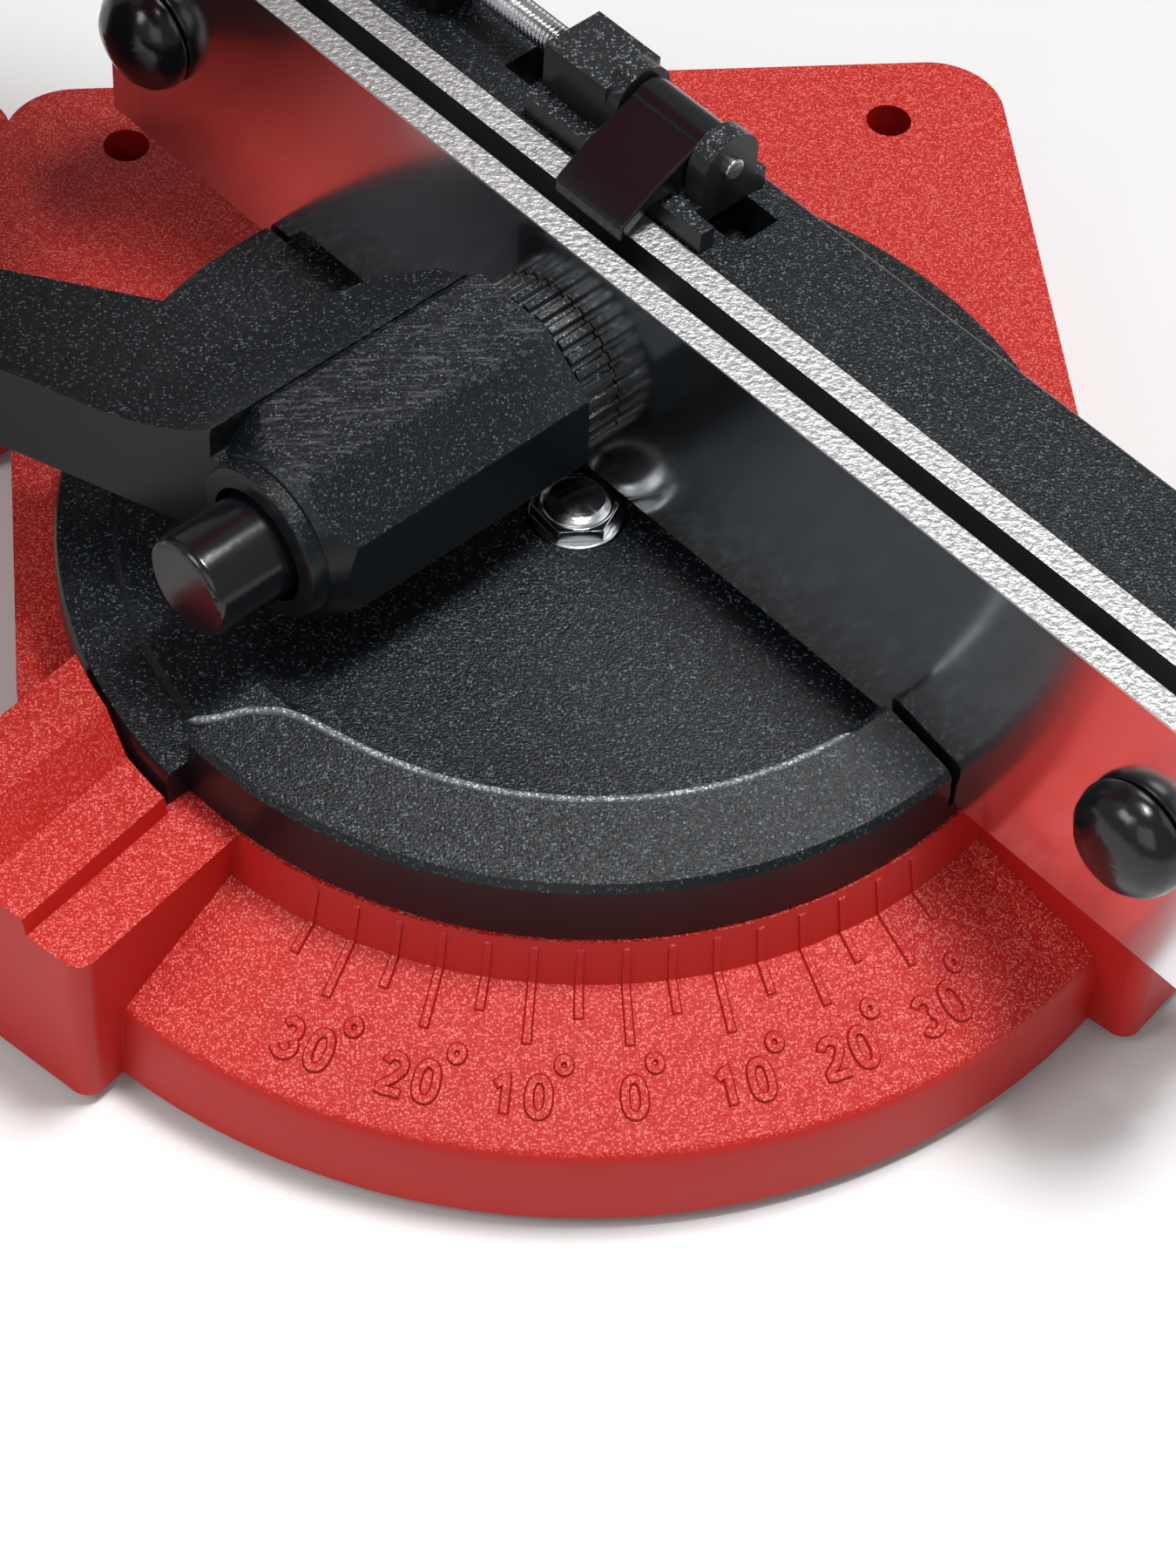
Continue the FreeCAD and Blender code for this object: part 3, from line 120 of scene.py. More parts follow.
floor_material, tree, shader = new_material("floor_paper", Roughness=0.75)
place = add(tree, "ShaderNodeTexCoord").outputs["Object"]
fibre = add(tree, "ShaderNodeTexNoise", {"Vector": place, "Scale": 30, "Detail": 4})
tone = add(tree, "ShaderNodeMix", {"Factor": fibre.outputs["Fac"], "A": (0.70, 0.70, 0.70, 1),
                                   "B": (0.73, 0.73, 0.73, 1)}, data_type="RGBA")
tree.links.new(tone.outputs["Result"], shader.inputs["Base Color"])
floor_mesh = bpy.data.meshes.new("floor")
floor_mesh.from_pydata([(-6, -6, 0), (6, -6, 0), (6, 6, 0), (-6, 6, 0)], [], [(0, 1, 2, 3)])
floor_mesh.materials.append(floor_material)
floor = bpy.data.objects.new("floor", floor_mesh)
scene.collection.objects.link(floor)

# Base shell.
# Injection moulded in red plastic. The upward faces carry a spark-eroded grain in the bump, and pale grains
# painted into their colour stand for single grains that catch the light: painted glints. The walls, which slide
# out of the mould, are smooth.


def new_group(name, inputs, outputs):
    """A shader group; inputs are (name, default), outputs are (name, socket type)."""
    group = bpy.data.node_groups.new(name, "ShaderNodeTree")
    for label, default in inputs:
        socket = group.interface.new_socket(name=label, in_out="INPUT", socket_type="NodeSocketFloat")
        socket.default_value = default
    for label, kind in outputs:
        group.interface.new_socket(name=label, in_out="OUTPUT", socket_type=kind)
    return group, group.nodes.new("NodeGroupInput"), group.nodes.new("NodeGroupOutput")


def use_group(tree, group, **values):
    """Places a shader group in a material with its own values."""
    node = tree.nodes.new("ShaderNodeGroup")
    node.node_tree = group
    for name, value in values.items():
        node.inputs[name].default_value = value
    return node


# The glint output marks single grains on upward faces that are painted pale in the colour: painted glints, not
# the grain's own colour.
grain, g_in, g_out = new_group("moulded_grain", [("Size", 2000.0), ("Cover", 0.3)],
                               [("Height", "NodeSocketFloat"), ("Painted_glint", "NodeSocketFloat"),
                                ("Shade", "NodeSocketFloat"), ("Top", "NodeSocketFloat")])
seat = add(grain, "ShaderNodeTexCoord")
place = seat.outputs["Object"]
facing = add(grain, "ShaderNodeSeparateXYZ", {"Vector": seat.outputs["Normal"]})
upward = add(grain, "ShaderNodeMapRange", {"Value": facing.outputs["Z"], "From Min": 0.45, "From Max": 0.92})
pits = add(grain, "ShaderNodeTexNoise", {"Vector": place, "Scale": g_in.outputs["Size"], "Detail": 2,
                                         "Roughness": 0.6})
relief = add(grain, "ShaderNodeMath", {0: pits.outputs["Fac"], 1: upward.outputs[0]}, operation="MULTIPLY")
cells = add(grain, "ShaderNodeTexVoronoi", {"Vector": place, "Scale": g_in.outputs["Size"]})
lot = add(grain, "ShaderNodeSeparateColor", {"Color": cells.outputs["Color"]})
bar = add(grain, "ShaderNodeMath", {0: 1.0, 1: g_in.outputs["Cover"]}, operation="SUBTRACT")
drawn = add(grain, "ShaderNodeMapRange", {"Value": lot.outputs[0], "From Min": bar.outputs[0],
                                          "From Max": 1.0})
edge = add(grain, "ShaderNodeMapRange", {"Value": cells.outputs["Distance"], "From Min": 0.62,
                                         "From Max": 0.25})
painted_glint_cells = add(grain, "ShaderNodeMath", {0: drawn.outputs[0], 1: edge.outputs[0]}, operation="MULTIPLY")
painted_glint = add(grain, "ShaderNodeMath", {0: painted_glint_cells.outputs[0], 1: upward.outputs[0]}, operation="MULTIPLY")
cloud = add(grain, "ShaderNodeTexNoise", {"Vector": place, "Scale": 45, "Detail": 4})
grain.links.new(relief.outputs[0], g_out.inputs["Height"])
grain.links.new(painted_glint.outputs[0], g_out.inputs["Painted_glint"])
grain.links.new(cloud.outputs["Fac"], g_out.inputs["Shade"])
grain.links.new(upward.outputs[0], g_out.inputs["Top"])


def moulded(name, dark, light, painted_glint_tint, rough, grain_size, cover, bump, shine=0.5):
    """Plastic or powder coat: colour drifts between dark and light, and single grains on upward faces are
    painted paler: painted glints.
    """
    material, tree, shader = new_material(name, Specular_IOR_Level=shine)
    skin = use_group(tree, grain, Size=grain_size, Cover=cover)
    colour = add(tree, "ShaderNodeMix", {"Factor": skin.outputs["Shade"], "A": (*dark, 1), "B": (*light, 1)},
                 data_type="RGBA")
    # Painted glints: pale grains mixed into the base colour of upward faces.
    painted_glint_mix = add(tree, "ShaderNodeMix", {"Factor": skin.outputs["Painted_glint"], "A": colour.outputs["Result"],
                                          "B": (*painted_glint_tint, 1)}, data_type="RGBA")
    tree.links.new(painted_glint_mix.outputs["Result"], shader.inputs["Base Color"])
    gloss = add(tree, "ShaderNodeMapRange", {"Value": skin.outputs["Shade"], "To Min": rough - 0.05,
                                             "To Max": rough + 0.06})
    tree.links.new(gloss.outputs[0], shader.inputs["Roughness"])
    relief = add(tree, "ShaderNodeBump", {"Height": skin.outputs["Height"], "Strength": bump,
                                          "Distance": 0.0002})
    tree.links.new(relief.outputs[0], shader.inputs["Normal"])
    return material


def soften(piece, width, segments=2):
    """Closes the shell, rounds every edge sharper than 32 degrees, and keeps flat faces flat in the shading."""
    piece.data.polygons.foreach_set("use_smooth", np.ones(len(piece.data.polygons), bool))
    weld = piece.modifiers.new("weld", "WELD")
    weld.merge_threshold = 0.000002
    flat = piece.modifiers.new("flat", "DECIMATE")
    flat.decimate_type, flat.angle_limit = "DISSOLVE", math.radians(0.4)
    bevel = piece.modifiers.new("round", "BEVEL")
    bevel.width, bevel.segments = width, segments
    bevel.limit_method, bevel.angle_limit = "ANGLE", math.radians(32)
    bevel.use_clamp_overlap = True
    shade = piece.modifiers.new("shade", "WEIGHTED_NORMAL")
    shade.mode, shade.weight = "FACE_AREA", 100


def dress(names, finish, edge=0.0003):
    """Gives carried-over nodes their finish and rounded edges."""
    for name in names.split():
        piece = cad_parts[name]
        piece.data.materials.clear()
        piece.data.materials.append(finish)
        soften(piece, edge)


red_plastic = moulded("red_plastic", (0.42, 0.009, 0.006), (0.47, 0.012, 0.008), (0.86, 0.21, 0.18), 0.42,
                      3300, 0.85, 0.9, 0.28)
dress("base_shell", red_plastic, 0.0008)

# Angle scale.
# Bars every five degrees and the numbers beside the long ones stand proud of the sloping face of the base,
# as they come out of the mould. Each bar carries on as a rib up the wall of the rim.


def pave(name, rings, finish_of_column, finishes_used, body, closed=False, smooth=False):
    """Shells from rings of points, shape (shells, rings, points, 3). Faces join each ring to the next one; the
    ends are fans to the middle of the end ring unless the run of rings is closed."""
    shells, count, points = rings.shape[:3]
    base = np.arange(shells * count * points).reshape(shells, count, points)
    here = base if closed else base[:, :-1]
    there = np.roll(base, -1, axis=1) if closed else base[:, 1:]
    quads = np.stack([here, there, np.roll(there, -1, axis=2), np.roll(here, -1, axis=2)], axis=-1)
    columns = np.broadcast_to(np.arange(points), quads.shape[:3])
    faces, finish = quads.reshape(-1, 4).tolist(), np.asarray(finish_of_column)[columns.reshape(-1)].tolist()
    coords = rings.reshape(-1, 3)
    if not closed:
        middles = rings[:, [0, -1]].mean(axis=2).reshape(-1, 3)
        poles = len(coords) + np.arange(2 * shells).reshape(shells, 2)
        coords = np.concatenate([coords, middles])
        first, last = base[:, 0], base[:, -1]
        starts = np.stack([np.broadcast_to(poles[:, :1], first.shape), first, np.roll(first, -1, axis=1)],
                          axis=-1)
        ends = np.stack([np.broadcast_to(poles[:, 1:], last.shape), np.roll(last, -1, axis=1), last], axis=-1)
        caps = np.concatenate([starts.reshape(-1, 3), ends.reshape(-1, 3)])
        faces += caps.tolist()
        finish += [int(max(finish_of_column))] * len(caps)
    mesh = bpy.data.meshes.new(name)
    mesh.from_pydata(coords, [], faces)
    for used in finishes_used:
        mesh.materials.append(used)
    mesh.polygons.foreach_set("material_index", np.array(finish, np.int32))
    shell = bmesh.new()
    shell.from_mesh(mesh)
    bmesh.ops.recalc_face_normals(shell, faces=shell.faces)
    shell.to_mesh(mesh)
    shell.free()
    piece = bpy.data.objects.new(name, mesh)
    scene.collection.objects.link(piece)
    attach(piece, body)
    if smooth:
        mesh.polygons.foreach_set("use_smooth", np.ones(len(mesh.polygons), bool))
    return piece


mm = 0.001
RIM_FOOT, RIM_FOOT_Z, CONE_FALL = 64.0, 22.0, 0.406
STROKE, STROKE_EDGE, STROKE_LIFT = 0.42, 0.24, 0.36
tilt = math.hypot(1, CONE_FALL)


def on_scale(across, inward, lift, azimuth, radius):
    """Flat drawing to the sloping face: across along the arc, inward to the swivel, lift off the face."""
    r = radius - inward + lift * CONE_FALL / tilt
    angle = np.radians(azimuth) + across / radius
    z = RIM_FOOT_Z - (radius - inward - RIM_FOOT) * CONE_FALL + lift / tilt
    return np.stack([r * np.cos(angle), r * np.sin(angle), z], axis=-1) * mm


def stroke(path, closed=False):
    """A raised bar along a flat path (n, 2): flat top, sloping sides. Gives across, inward, lift as (n, 6)."""
    path = np.asarray(path, float)
    ahead, behind = np.roll(path, -1, axis=0), np.roll(path, 1, axis=0)
    if not closed:
        ahead[-1], behind[0] = path[-1], path[0]
    way = ahead - behind
    way /= np.linalg.norm(way, axis=1, keepdims=True)
    side = np.stack([-way[:, 1], way[:, 0]], axis=1)
    wide = np.array([STROKE + STROKE_EDGE, STROKE, -STROKE, -STROKE - STROKE_EDGE, -STROKE - STROKE_EDGE,
                     STROKE + STROKE_EDGE])
    lift = np.array([0.02, STROKE_LIFT, STROKE_LIFT, 0.02, -0.4, -0.4])
    flat = path[:, None, :] + side[:, None, :] * wide[None, :, None]
    lifts = np.broadcast_to(lift, flat.shape[:2]).copy()
    if not closed:
        ends = flat[[0, -1]] + np.stack([-way[0], way[-1]])[:, None, :] * STROKE_EDGE
        flat = np.concatenate([ends[:1], flat, ends[1:]])
        low = np.minimum(lift, 0.02)[None]
        lifts = np.concatenate([low, lifts, low])
    return flat[..., 0], flat[..., 1], lifts


turn = np.linspace(0, 1, 28, endpoint=False) * 2 * np.pi
bend = np.linspace(0, 1, 14)


def oval(half_width, half_height, power=2.4):
    """Superellipse: cosine and sine raised to 2/power with their signs kept."""
    c, s = np.cos(turn), np.sin(turn)
    across, upward = np.sign(c) * np.abs(c) ** (2 / power), np.sign(s) * np.abs(s) ** (2 / power)
    return np.stack([half_width * across, half_height * upward], axis=1)


def arc(cx, cy, rx, ry, start, end):
    """Part of an ellipse: centre plus radii times cosine and sine, from start to end in degrees."""
    angle = np.radians(start + (end - start) * bend)
    return np.stack([cx + rx * np.cos(angle), cy + ry * np.sin(angle)], axis=1)


figures = {
    "0": (oval(1.15, 2.05), True),
    "1": (np.array([(-1.05, 1.0), (-0.7, 1.25), (-0.2, 1.75), (0.15, 2.05), (0.15, 1.4), (0.15, 0),
                    (0.15, -2.05)]), False),
    "2": (np.concatenate([arc(0, 0.95, 1.15, 1.1, 165, -20), arc(-2.2, 1.6, 3.3, 3.1, -32, -62),
                          [(-1.15, -1.6), (-1.2, -2.05), (-0.8, -2.05), (1.25, -2.05)]]), False),
    "3": (np.concatenate([arc(-0.05, 1.0, 1.05, 1.02, 150, -75),
                          arc(-0.05, -0.95, 1.2, 1.08, 78, -155)]), False),
}
NUMBER_RADIUS, FIGURE_STEP = 76.8, 4.1
MIDDLE_MARK, MARK_STEP = -90, 5
LONG_MARK, SHORT_MARK = 71.0, 67.9
# The sloping sides of the bars and numbers take a darker, duller red with few pale grains: painted shade on the
# steep sides.
scale_red_and_painted_shade = [red_plastic, moulded("red_edge_painted_shade", (0.27, 0.005, 0.004), (0.31, 0.007, 0.005),
                                     (0.5, 0.05, 0.04), 0.5, 2600, 0.1, 0.1, 0.3)]
bars = []
for step in range(-7, 8):
    outer = LONG_MARK if step % 2 == 0 else SHORT_MARK
    run = np.stack([np.zeros(5), np.linspace(RIM_FOOT - 0.3 - outer + STROKE, 0, 5) * -1], axis=1)
    bars.append(on_scale(*stroke(run[::-1]), MIDDLE_MARK + MARK_STEP * step, outer - STROKE * 0.4))
pave("scale_bars", np.stack(bars), [1, 0, 1, 0, 0, 0], scale_red_and_painted_shade, "base")
rib_z = np.array([21.6, 22.6, 24.5, 26.6, 27.4, 27.5])
rib_lift = np.array([0.24, 0.24, 0.24, 0.24, 0.2, 0.0])
RIM_LEAN = 1.45 / 6.4
rib_r = RIM_FOOT - (rib_z - RIM_FOOT_Z) * RIM_LEAN
ribs = []
for step in range(-7, 8):
    half = np.array([STROKE + 0.08, STROKE, -STROKE, -STROKE - 0.08])
    out = np.array([-0.25, 1.0, 1.0, -0.25])
    r = rib_r[:, None] + np.where(out > 0, rib_lift[:, None], out)
    angle = math.radians(MIDDLE_MARK + MARK_STEP * step) - half[None, :] / RIM_FOOT
    ribs.append(np.stack([r * np.cos(angle), r * np.sin(angle), np.broadcast_to(rib_z[:, None], r.shape)],
                         axis=-1) * mm)
pave("rim_ribs", np.stack(ribs), [0, 0, 0, 0], [red_plastic], "base")
for step in (-6, -4, -2, 0, 2, 4, 6):
    label = str(abs(step) * MARK_STEP)
    for place_in_label, figure in enumerate(label):
        path, closed = figures[figure]
        shift = (place_in_label - (len(label) - 1) / 2) * FIGURE_STEP
        x, y, lift = stroke(path, closed)
        pave("number_%d_%d" % (step + 6, place_in_label),
             on_scale(x + shift, y, lift, MIDDLE_MARK + MARK_STEP * step, NUMBER_RADIUS)[None],
             [1, 0, 1, 0, 0, 0], scale_red_and_painted_shade, "base", closed)
    x, y, lift = stroke(oval(0.85, 0.85, 2.0), True)
    pave("degree_%d" % (step + 6),
         on_scale(x * 0.9 + (len(label) - 1) * FIGURE_STEP / 2 + 2.9, y * 0.9 + 3.7, lift,
                  MIDDLE_MARK + MARK_STEP * step, NUMBER_RADIUS)[None],
         [1, 0, 1, 0, 0, 0], scale_red_and_painted_shade, "base", True)

# Feet, thrust washer and lock knob.
# Five rubber feet plug into the corners, a nylon washer carries the swivel on its boss, and the lobed knob
# under the base pulls the swivel down by a brass insert that is moulded into it.
rubber = moulded("rubber", (0.012, 0.012, 0.012), (0.022, 0.022, 0.022), (0.05, 0.05, 0.05), 0.75, 1500,
                 0.3, 0.5)
white_nylon = moulded("white_nylon", (0.75, 0.74, 0.70), (0.82, 0.81, 0.77), (0.9, 0.9, 0.88), 0.5, 2400,
                      0.3, 0.2)
black_plastic = moulded("black_plastic", (0.004, 0.0055, 0.007), (0.007, 0.009, 0.011),
                        (0.13, 0.15, 0.17), 0.26, 3000, 0.26, 0.9, 0.27)

wear, w_in, w_out = new_group("handling_marks", [("Size", 60.0), ("Stretch", 14.0)],
                              [("Scratch", "NodeSocketFloat"), ("Smudge", "NodeSocketFloat")])
place = add(wear, "ShaderNodeTexCoord").outputs["Object"]
apart = add(wear, "ShaderNodeSeparateXYZ", {"Vector": place})
longer = add(wear, "ShaderNodeMath", {0: apart.outputs["Z"], 1: w_in.outputs["Stretch"]},
             operation="MULTIPLY")
narrow = add(wear, "ShaderNodeCombineXYZ", {"X": apart.outputs["X"], "Y": apart.outputs["Y"],
                                            "Z": longer.outputs[0]})
lines = add(wear, "ShaderNodeTexNoise", {"Vector": narrow.outputs[0], "Scale": w_in.outputs["Size"],
                                         "Detail": 8, "Roughness": 0.8})
scratch = add(wear, "ShaderNodeMapRange", {"Value": lines.outputs["Fac"], "From Min": 0.5, "From Max": 0.72})
smears = add(wear, "ShaderNodeTexNoise", {"Vector": place, "Scale": 28, "Detail": 5, "Distortion": 0.6})
wear.links.new(scratch.outputs[0], w_out.inputs["Scratch"])
wear.links.new(smears.outputs["Fac"], w_out.inputs["Smudge"])


def metal(name, dark, light, low_rough, high_rough, size=60.0, bump=0.15, stretch=14.0):
    """Bare or plated metal: tone, gloss and relief follow scratches and smudges."""
    material, tree, shader = new_material(name, Metallic=1.0)
    marks = use_group(tree, wear, Size=size, Stretch=stretch)
    colour = add(tree, "ShaderNodeMix", {"Factor": marks.outputs["Smudge"], "A": (*dark, 1),
                                         "B": (*light, 1)}, data_type="RGBA")
    tree.links.new(colour.outputs["Result"], shader.inputs["Base Color"])
    gloss = add(tree, "ShaderNodeMapRange", {"Value": marks.outputs["Scratch"], "To Min": low_rough,
                                             "To Max": high_rough})
    tree.links.new(gloss.outputs[0], shader.inputs["Roughness"])
    relief = add(tree, "ShaderNodeBump", {"Height": marks.outputs["Scratch"], "Strength": bump,
                                          "Distance": 0.0001})
    tree.links.new(relief.outputs[0], shader.inputs["Normal"])
    return material


brass = metal("brass", (0.55, 0.36, 0.11), (0.74, 0.52, 0.20), 0.2, 0.4)
dress("rubber_feet", rubber, 0.0005)
dress("thrust_washer", white_nylon)
dress("lock_knob", black_plastic, 0.0010)
dress("lock_insert", brass)

# Hinge bracket.
# A cast post under a black powder coat, screwed to the base from above. The head turns on a zinc plated pin
# with a nut, and a coil of spring wire round the pin lifts it.


def square_to(axis):
    """The unit axis and two unit vectors square to it and to each other."""
    axis = np.asarray(axis, float) / np.linalg.norm(axis)
    side = np.cross(axis, (0, 0, 1.0) if abs(axis[2]) < 0.9 else (1.0, 0, 0))
    side /= np.linalg.norm(side)
    return axis, side, np.cross(axis, side)


def coil(name, start, end, radius, wire, turns, finish, body, slot, places=((0, 0, 0),)):
    """A wire of round section along a helix: the centre line keeps its radius from the axis, lies flat for one
    turn at each end and climbs evenly in between. One coil stands at each place. Millimetres in, metres out."""
    start, end = np.asarray(start, float), np.asarray(end, float)
    axis, side, other = square_to(end - start)
    length = np.linalg.norm(end - start) - wire
    steps = np.linspace(0, turns, int(turns * 22) + 1)[:, None]
    climb = wire / 2 + (length - 2 * wire * 0.9) * np.clip((steps - 1) / max(turns - 2, 1), 0, 1)
    climb += wire * 0.9 * (np.clip(steps, 0, 1) + np.clip(steps - turns + 1, 0, 1))
    angle = 2 * np.pi * steps
    outward = np.cos(angle) * side + np.sin(angle) * other
    line = start + outward * (radius - wire / 2) + axis * climb
    along = np.gradient(line, axis=0)
    along /= np.linalg.norm(along, axis=1, keepdims=True)
    third = np.cross(along, outward)
    section = np.linspace(0, 2 * np.pi, 8, endpoint=False)[None, :, None]
    rings = line[:, None] + wire / 2 * (np.cos(section) * outward[:, None] + np.sin(section) * third[:, None])
    shells = np.stack([rings + np.asarray(shift, float) for shift in places]) * mm
    return pave(name, shells, [0] * 8, [finish], body, smooth=True)


spring_steel = metal("spring_steel", (0.42, 0.43, 0.45), (0.58, 0.59, 0.61), 0.22, 0.42)
bright_zinc = metal("bright_zinc", (0.62, 0.64, 0.67), (0.80, 0.81, 0.83), 0.14, 0.34)
cast_black = moulded("cast_black", (0.008, 0.010, 0.012), (0.014, 0.017, 0.020), (0.10, 0.11, 0.12), 0.34,
                     1900, 0.3, 1.0)
hinge_x, hinge_z = -112.0, 100.0
dress("hinge_bracket", cast_black, 0.0008)
dress("bracket_screws hinge_pin hinge_nut", bright_zinc)
hinge_coil = coil("hinge_coil", (hinge_x, 73.5, hinge_z), (hinge_x, 83.5, hinge_z), 12.3, 1.9, 4.6,
                  spring_steel, "base", "spring_steel")
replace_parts(hinge_coil, "hinge_spring")

# Swivel.
# One moulding in black plastic: the round plate with its raised front quarter, and the tall block behind
# the rails. It turns on a bolt with a dome nut, and a ball under a spring clicks into the notches every
# five degrees.


def on_swivel(points):
    """From the swivel's own axes, x along the rails, to the object's: 53 degrees clockwise about Z."""
    points = np.asarray(points, float)
    c, s = math.cos(math.radians(-53)), math.sin(math.radians(-53))
    return np.stack([points[..., 0] * c - points[..., 1] * s, points[..., 0] * s + points[..., 1] * c,
                     points[..., 2]], axis=-1)


dress("turntable", black_plastic, 0.0006)

# A thin lip runs along the inner edge of the raised quarter, pale grey with dense pale grains: a painted
# highlight line along the rounded edge.
# Its centre line is given as radius and angle, and a small circle is carried along it that shrinks to nothing
# at both ends.
lip_polar = np.array([(60.6, -93.2), (58.5, -91.2), (54.6, -88.8), (52.2, -85.6), (51.1, -81.9),
                      (50.8, -76.5), (50.7, -66), (50.6, -50), (50.6, -36), (50.7, -21), (50.8, -8),
                      (50.9, -2.5)])
course = np.linspace(0, len(lip_polar) - 1, 120)
lip_r = np.interp(course, np.arange(len(lip_polar)), lip_polar[:, 0])
lip_angle = np.radians(np.interp(course, np.arange(len(lip_polar)), lip_polar[:, 1]))
for _ in range(6):
    lip_r[1:-1] = (lip_r[:-2] + lip_r[1:-1] + lip_r[2:]) / 3
lip_top, lip_fall, lip_radius = 40.42, 0.216, 0.62
lip_z = lip_top - lip_fall * np.clip(lip_r - 51.2, 0, None)
lip_line = np.stack([lip_r * np.cos(lip_angle), lip_r * np.sin(lip_angle), lip_z], axis=1)
lip_way = np.gradient(lip_line, axis=0)
lip_side = np.stack([lip_way[:, 1], -lip_way[:, 0], 0 * lip_z], axis=1)
lip_side /= np.linalg.norm(lip_side, axis=1, keepdims=True)
section = np.linspace(0, 2 * np.pi, 10, endpoint=False)[None, :, None]
lip_size = lip_radius * np.clip(np.minimum(course, course[::-1]) * 2.5, 0.05, 1)[:, None, None]
circle = np.cos(section) * lip_side[:, None] + np.sin(section) * np.array([0, 0, 1.0])
lip_rings = lip_line[:, None] + lip_size * circle
# Pale grey with dense pale grains on black plastic: a painted highlight, not wear.
lip_painted_highlight = moulded("lip_painted_highlight", (0.05, 0.055, 0.06), (0.10, 0.11, 0.12), (0.75, 0.78, 0.80), 0.30,
                      3200, 0.8, 0.6)
pave("plate_lip", on_swivel(lip_rings)[None] * mm, [0] * 10, [lip_painted_highlight], "swivel",
     smooth=True)

dress("pivot_bolt pivot_washer", bright_zinc, 0.0004)
dress("detent_ball", spring_steel)
detent_ends = np.array([(0, 46.7, 26), (0, 55.7, 26)])
c, s = math.cos(math.radians(-135)), math.sin(math.radians(-135))
detent_ends = np.stack([-detent_ends[:, 1] * s, detent_ends[:, 1] * c, detent_ends[:, 2]], axis=1)
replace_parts(coil("detent_coil", *on_swivel(detent_ends), 1.85, 0.5, 8, spring_steel, "swivel",
                 "spring_steel"),
            "detent_spring")

# Rails.
# Two strips of rolled steel hold the chain between them. The broad faces are polished, and the upper edges
# keep the dented skin of the rolled bar. The front strip slides on two shoulder screws against coil
# springs.


def rails(name):
    """Polished steel on the upright faces, and the pale dented skin of the bar on the faces that look up."""
    material, tree, shader = new_material(name, Metallic=1.0)
    skin = use_group(tree, grain, Size=1300.0, Cover=0.5)
    marks = use_group(tree, wear, Size=45.0, Stretch=10.0)
    polished = add(tree, "ShaderNodeMix", {"Factor": marks.outputs["Smudge"], "A": (0.84, 0.86, 0.88, 1),
                                           "B": (0.92, 0.94, 0.95, 1)}, data_type="RGBA")
    dents = add(tree, "ShaderNodeMapRange", {"Value": skin.outputs["Height"], "From Min": 0.34,
                                             "From Max": 0.62})
    rolled = add(tree, "ShaderNodeMix", {"Factor": dents.outputs[0], "A": (0.38, 0.38, 0.385, 1),
                                         "B": (0.66, 0.66, 0.65, 1)}, data_type="RGBA")
    colour = add(tree, "ShaderNodeMix", {"Factor": skin.outputs["Top"], "A": polished.outputs["Result"],
                                         "B": rolled.outputs["Result"]}, data_type="RGBA")
    tree.links.new(colour.outputs["Result"], shader.inputs["Base Color"])
    haze = add(tree, "ShaderNodeMapRange", {"Value": marks.outputs["Smudge"], "To Min": 0.12, "To Max": 0.19})
    gloss = add(tree, "ShaderNodeMix", {"Factor": skin.outputs["Top"], "A": haze.outputs[0], "B": 0.55},
                data_type="FLOAT")
    tree.links.new(gloss.outputs["Result"], shader.inputs["Roughness"])
    relief = add(tree, "ShaderNodeBump", {"Height": skin.outputs["Height"], "Strength": 0.7,
                                          "Distance": 0.0004})
    tree.links.new(relief.outputs[0], shader.inputs["Normal"])
    return material


def blacked(name, chips):
    """Glossy black oxide, knocked through to bright steel in small chips."""
    material, tree, shader = new_material(name)
    place = add(tree, "ShaderNodeTexCoord").outputs["Object"]
    knocks = add(tree, "ShaderNodeTexNoise", {"Vector": place, "Scale": 330, "Detail": 5, "Roughness": 0.65})
    bare = add(tree, "ShaderNodeMapRange", {"Value": knocks.outputs["Fac"], "From Min": chips,
                                            "From Max": chips + 0.02})
    marks = use_group(tree, wear, Size=60.0, Stretch=1.0)
    colour = add(tree, "ShaderNodeMix", {"Factor": bare.outputs[0], "A": (0.006, 0.006, 0.008, 1),
                                         "B": (0.75, 0.76, 0.78, 1)}, data_type="RGBA")
    tree.links.new(colour.outputs["Result"], shader.inputs["Base Color"])
    tree.links.new(bare.outputs[0], shader.inputs["Metallic"])
    gloss = add(tree, "ShaderNodeMapRange", {"Value": marks.outputs["Smudge"], "To Min": 0.10,
                                             "To Max": 0.26})
    tree.links.new(gloss.outputs[0], shader.inputs["Roughness"])
    dents = add(tree, "ShaderNodeMath", {0: marks.outputs["Scratch"], 1: bare.outputs[0]},
                operation="SUBTRACT")
    relief = add(tree, "ShaderNodeBump", {"Height": dents.outputs[0], "Strength": 0.2, "Distance": 0.0001})
    tree.links.new(relief.outputs[0], shader.inputs["Normal"])
    return material


rail_steel = rails("rail_steel")
black_steel = blacked("black_steel", 0.72)
dress("front_jaw rear_jaw", rail_steel, 0.0002)
dress("rear_jaw_screws", black_steel, 0.0002)
dress("guide_screws", black_steel, 0.0006)
guide_ends = on_swivel([(-88.5, 8.5, 52), (-88.5, 22.8, 52), (88.5, 8.5, 52)])
jaw_coils = coil("jaw_coils", guide_ends[0], guide_ends[1], 4.6, 0.9, 7, spring_steel, "swivel",
                 "spring_steel", ((0, 0, 0), guide_ends[2] - guide_ends[0]))
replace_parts(jaw_coils, "jaw_springs")
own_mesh(jaw_coils)

# Clamp.
# The lever turns a ribbed hub on a threaded stud and closes the front rail. It can be lifted off the hub's
# shaft against a spring, up to the head of its retaining screw, to set it at another angle.


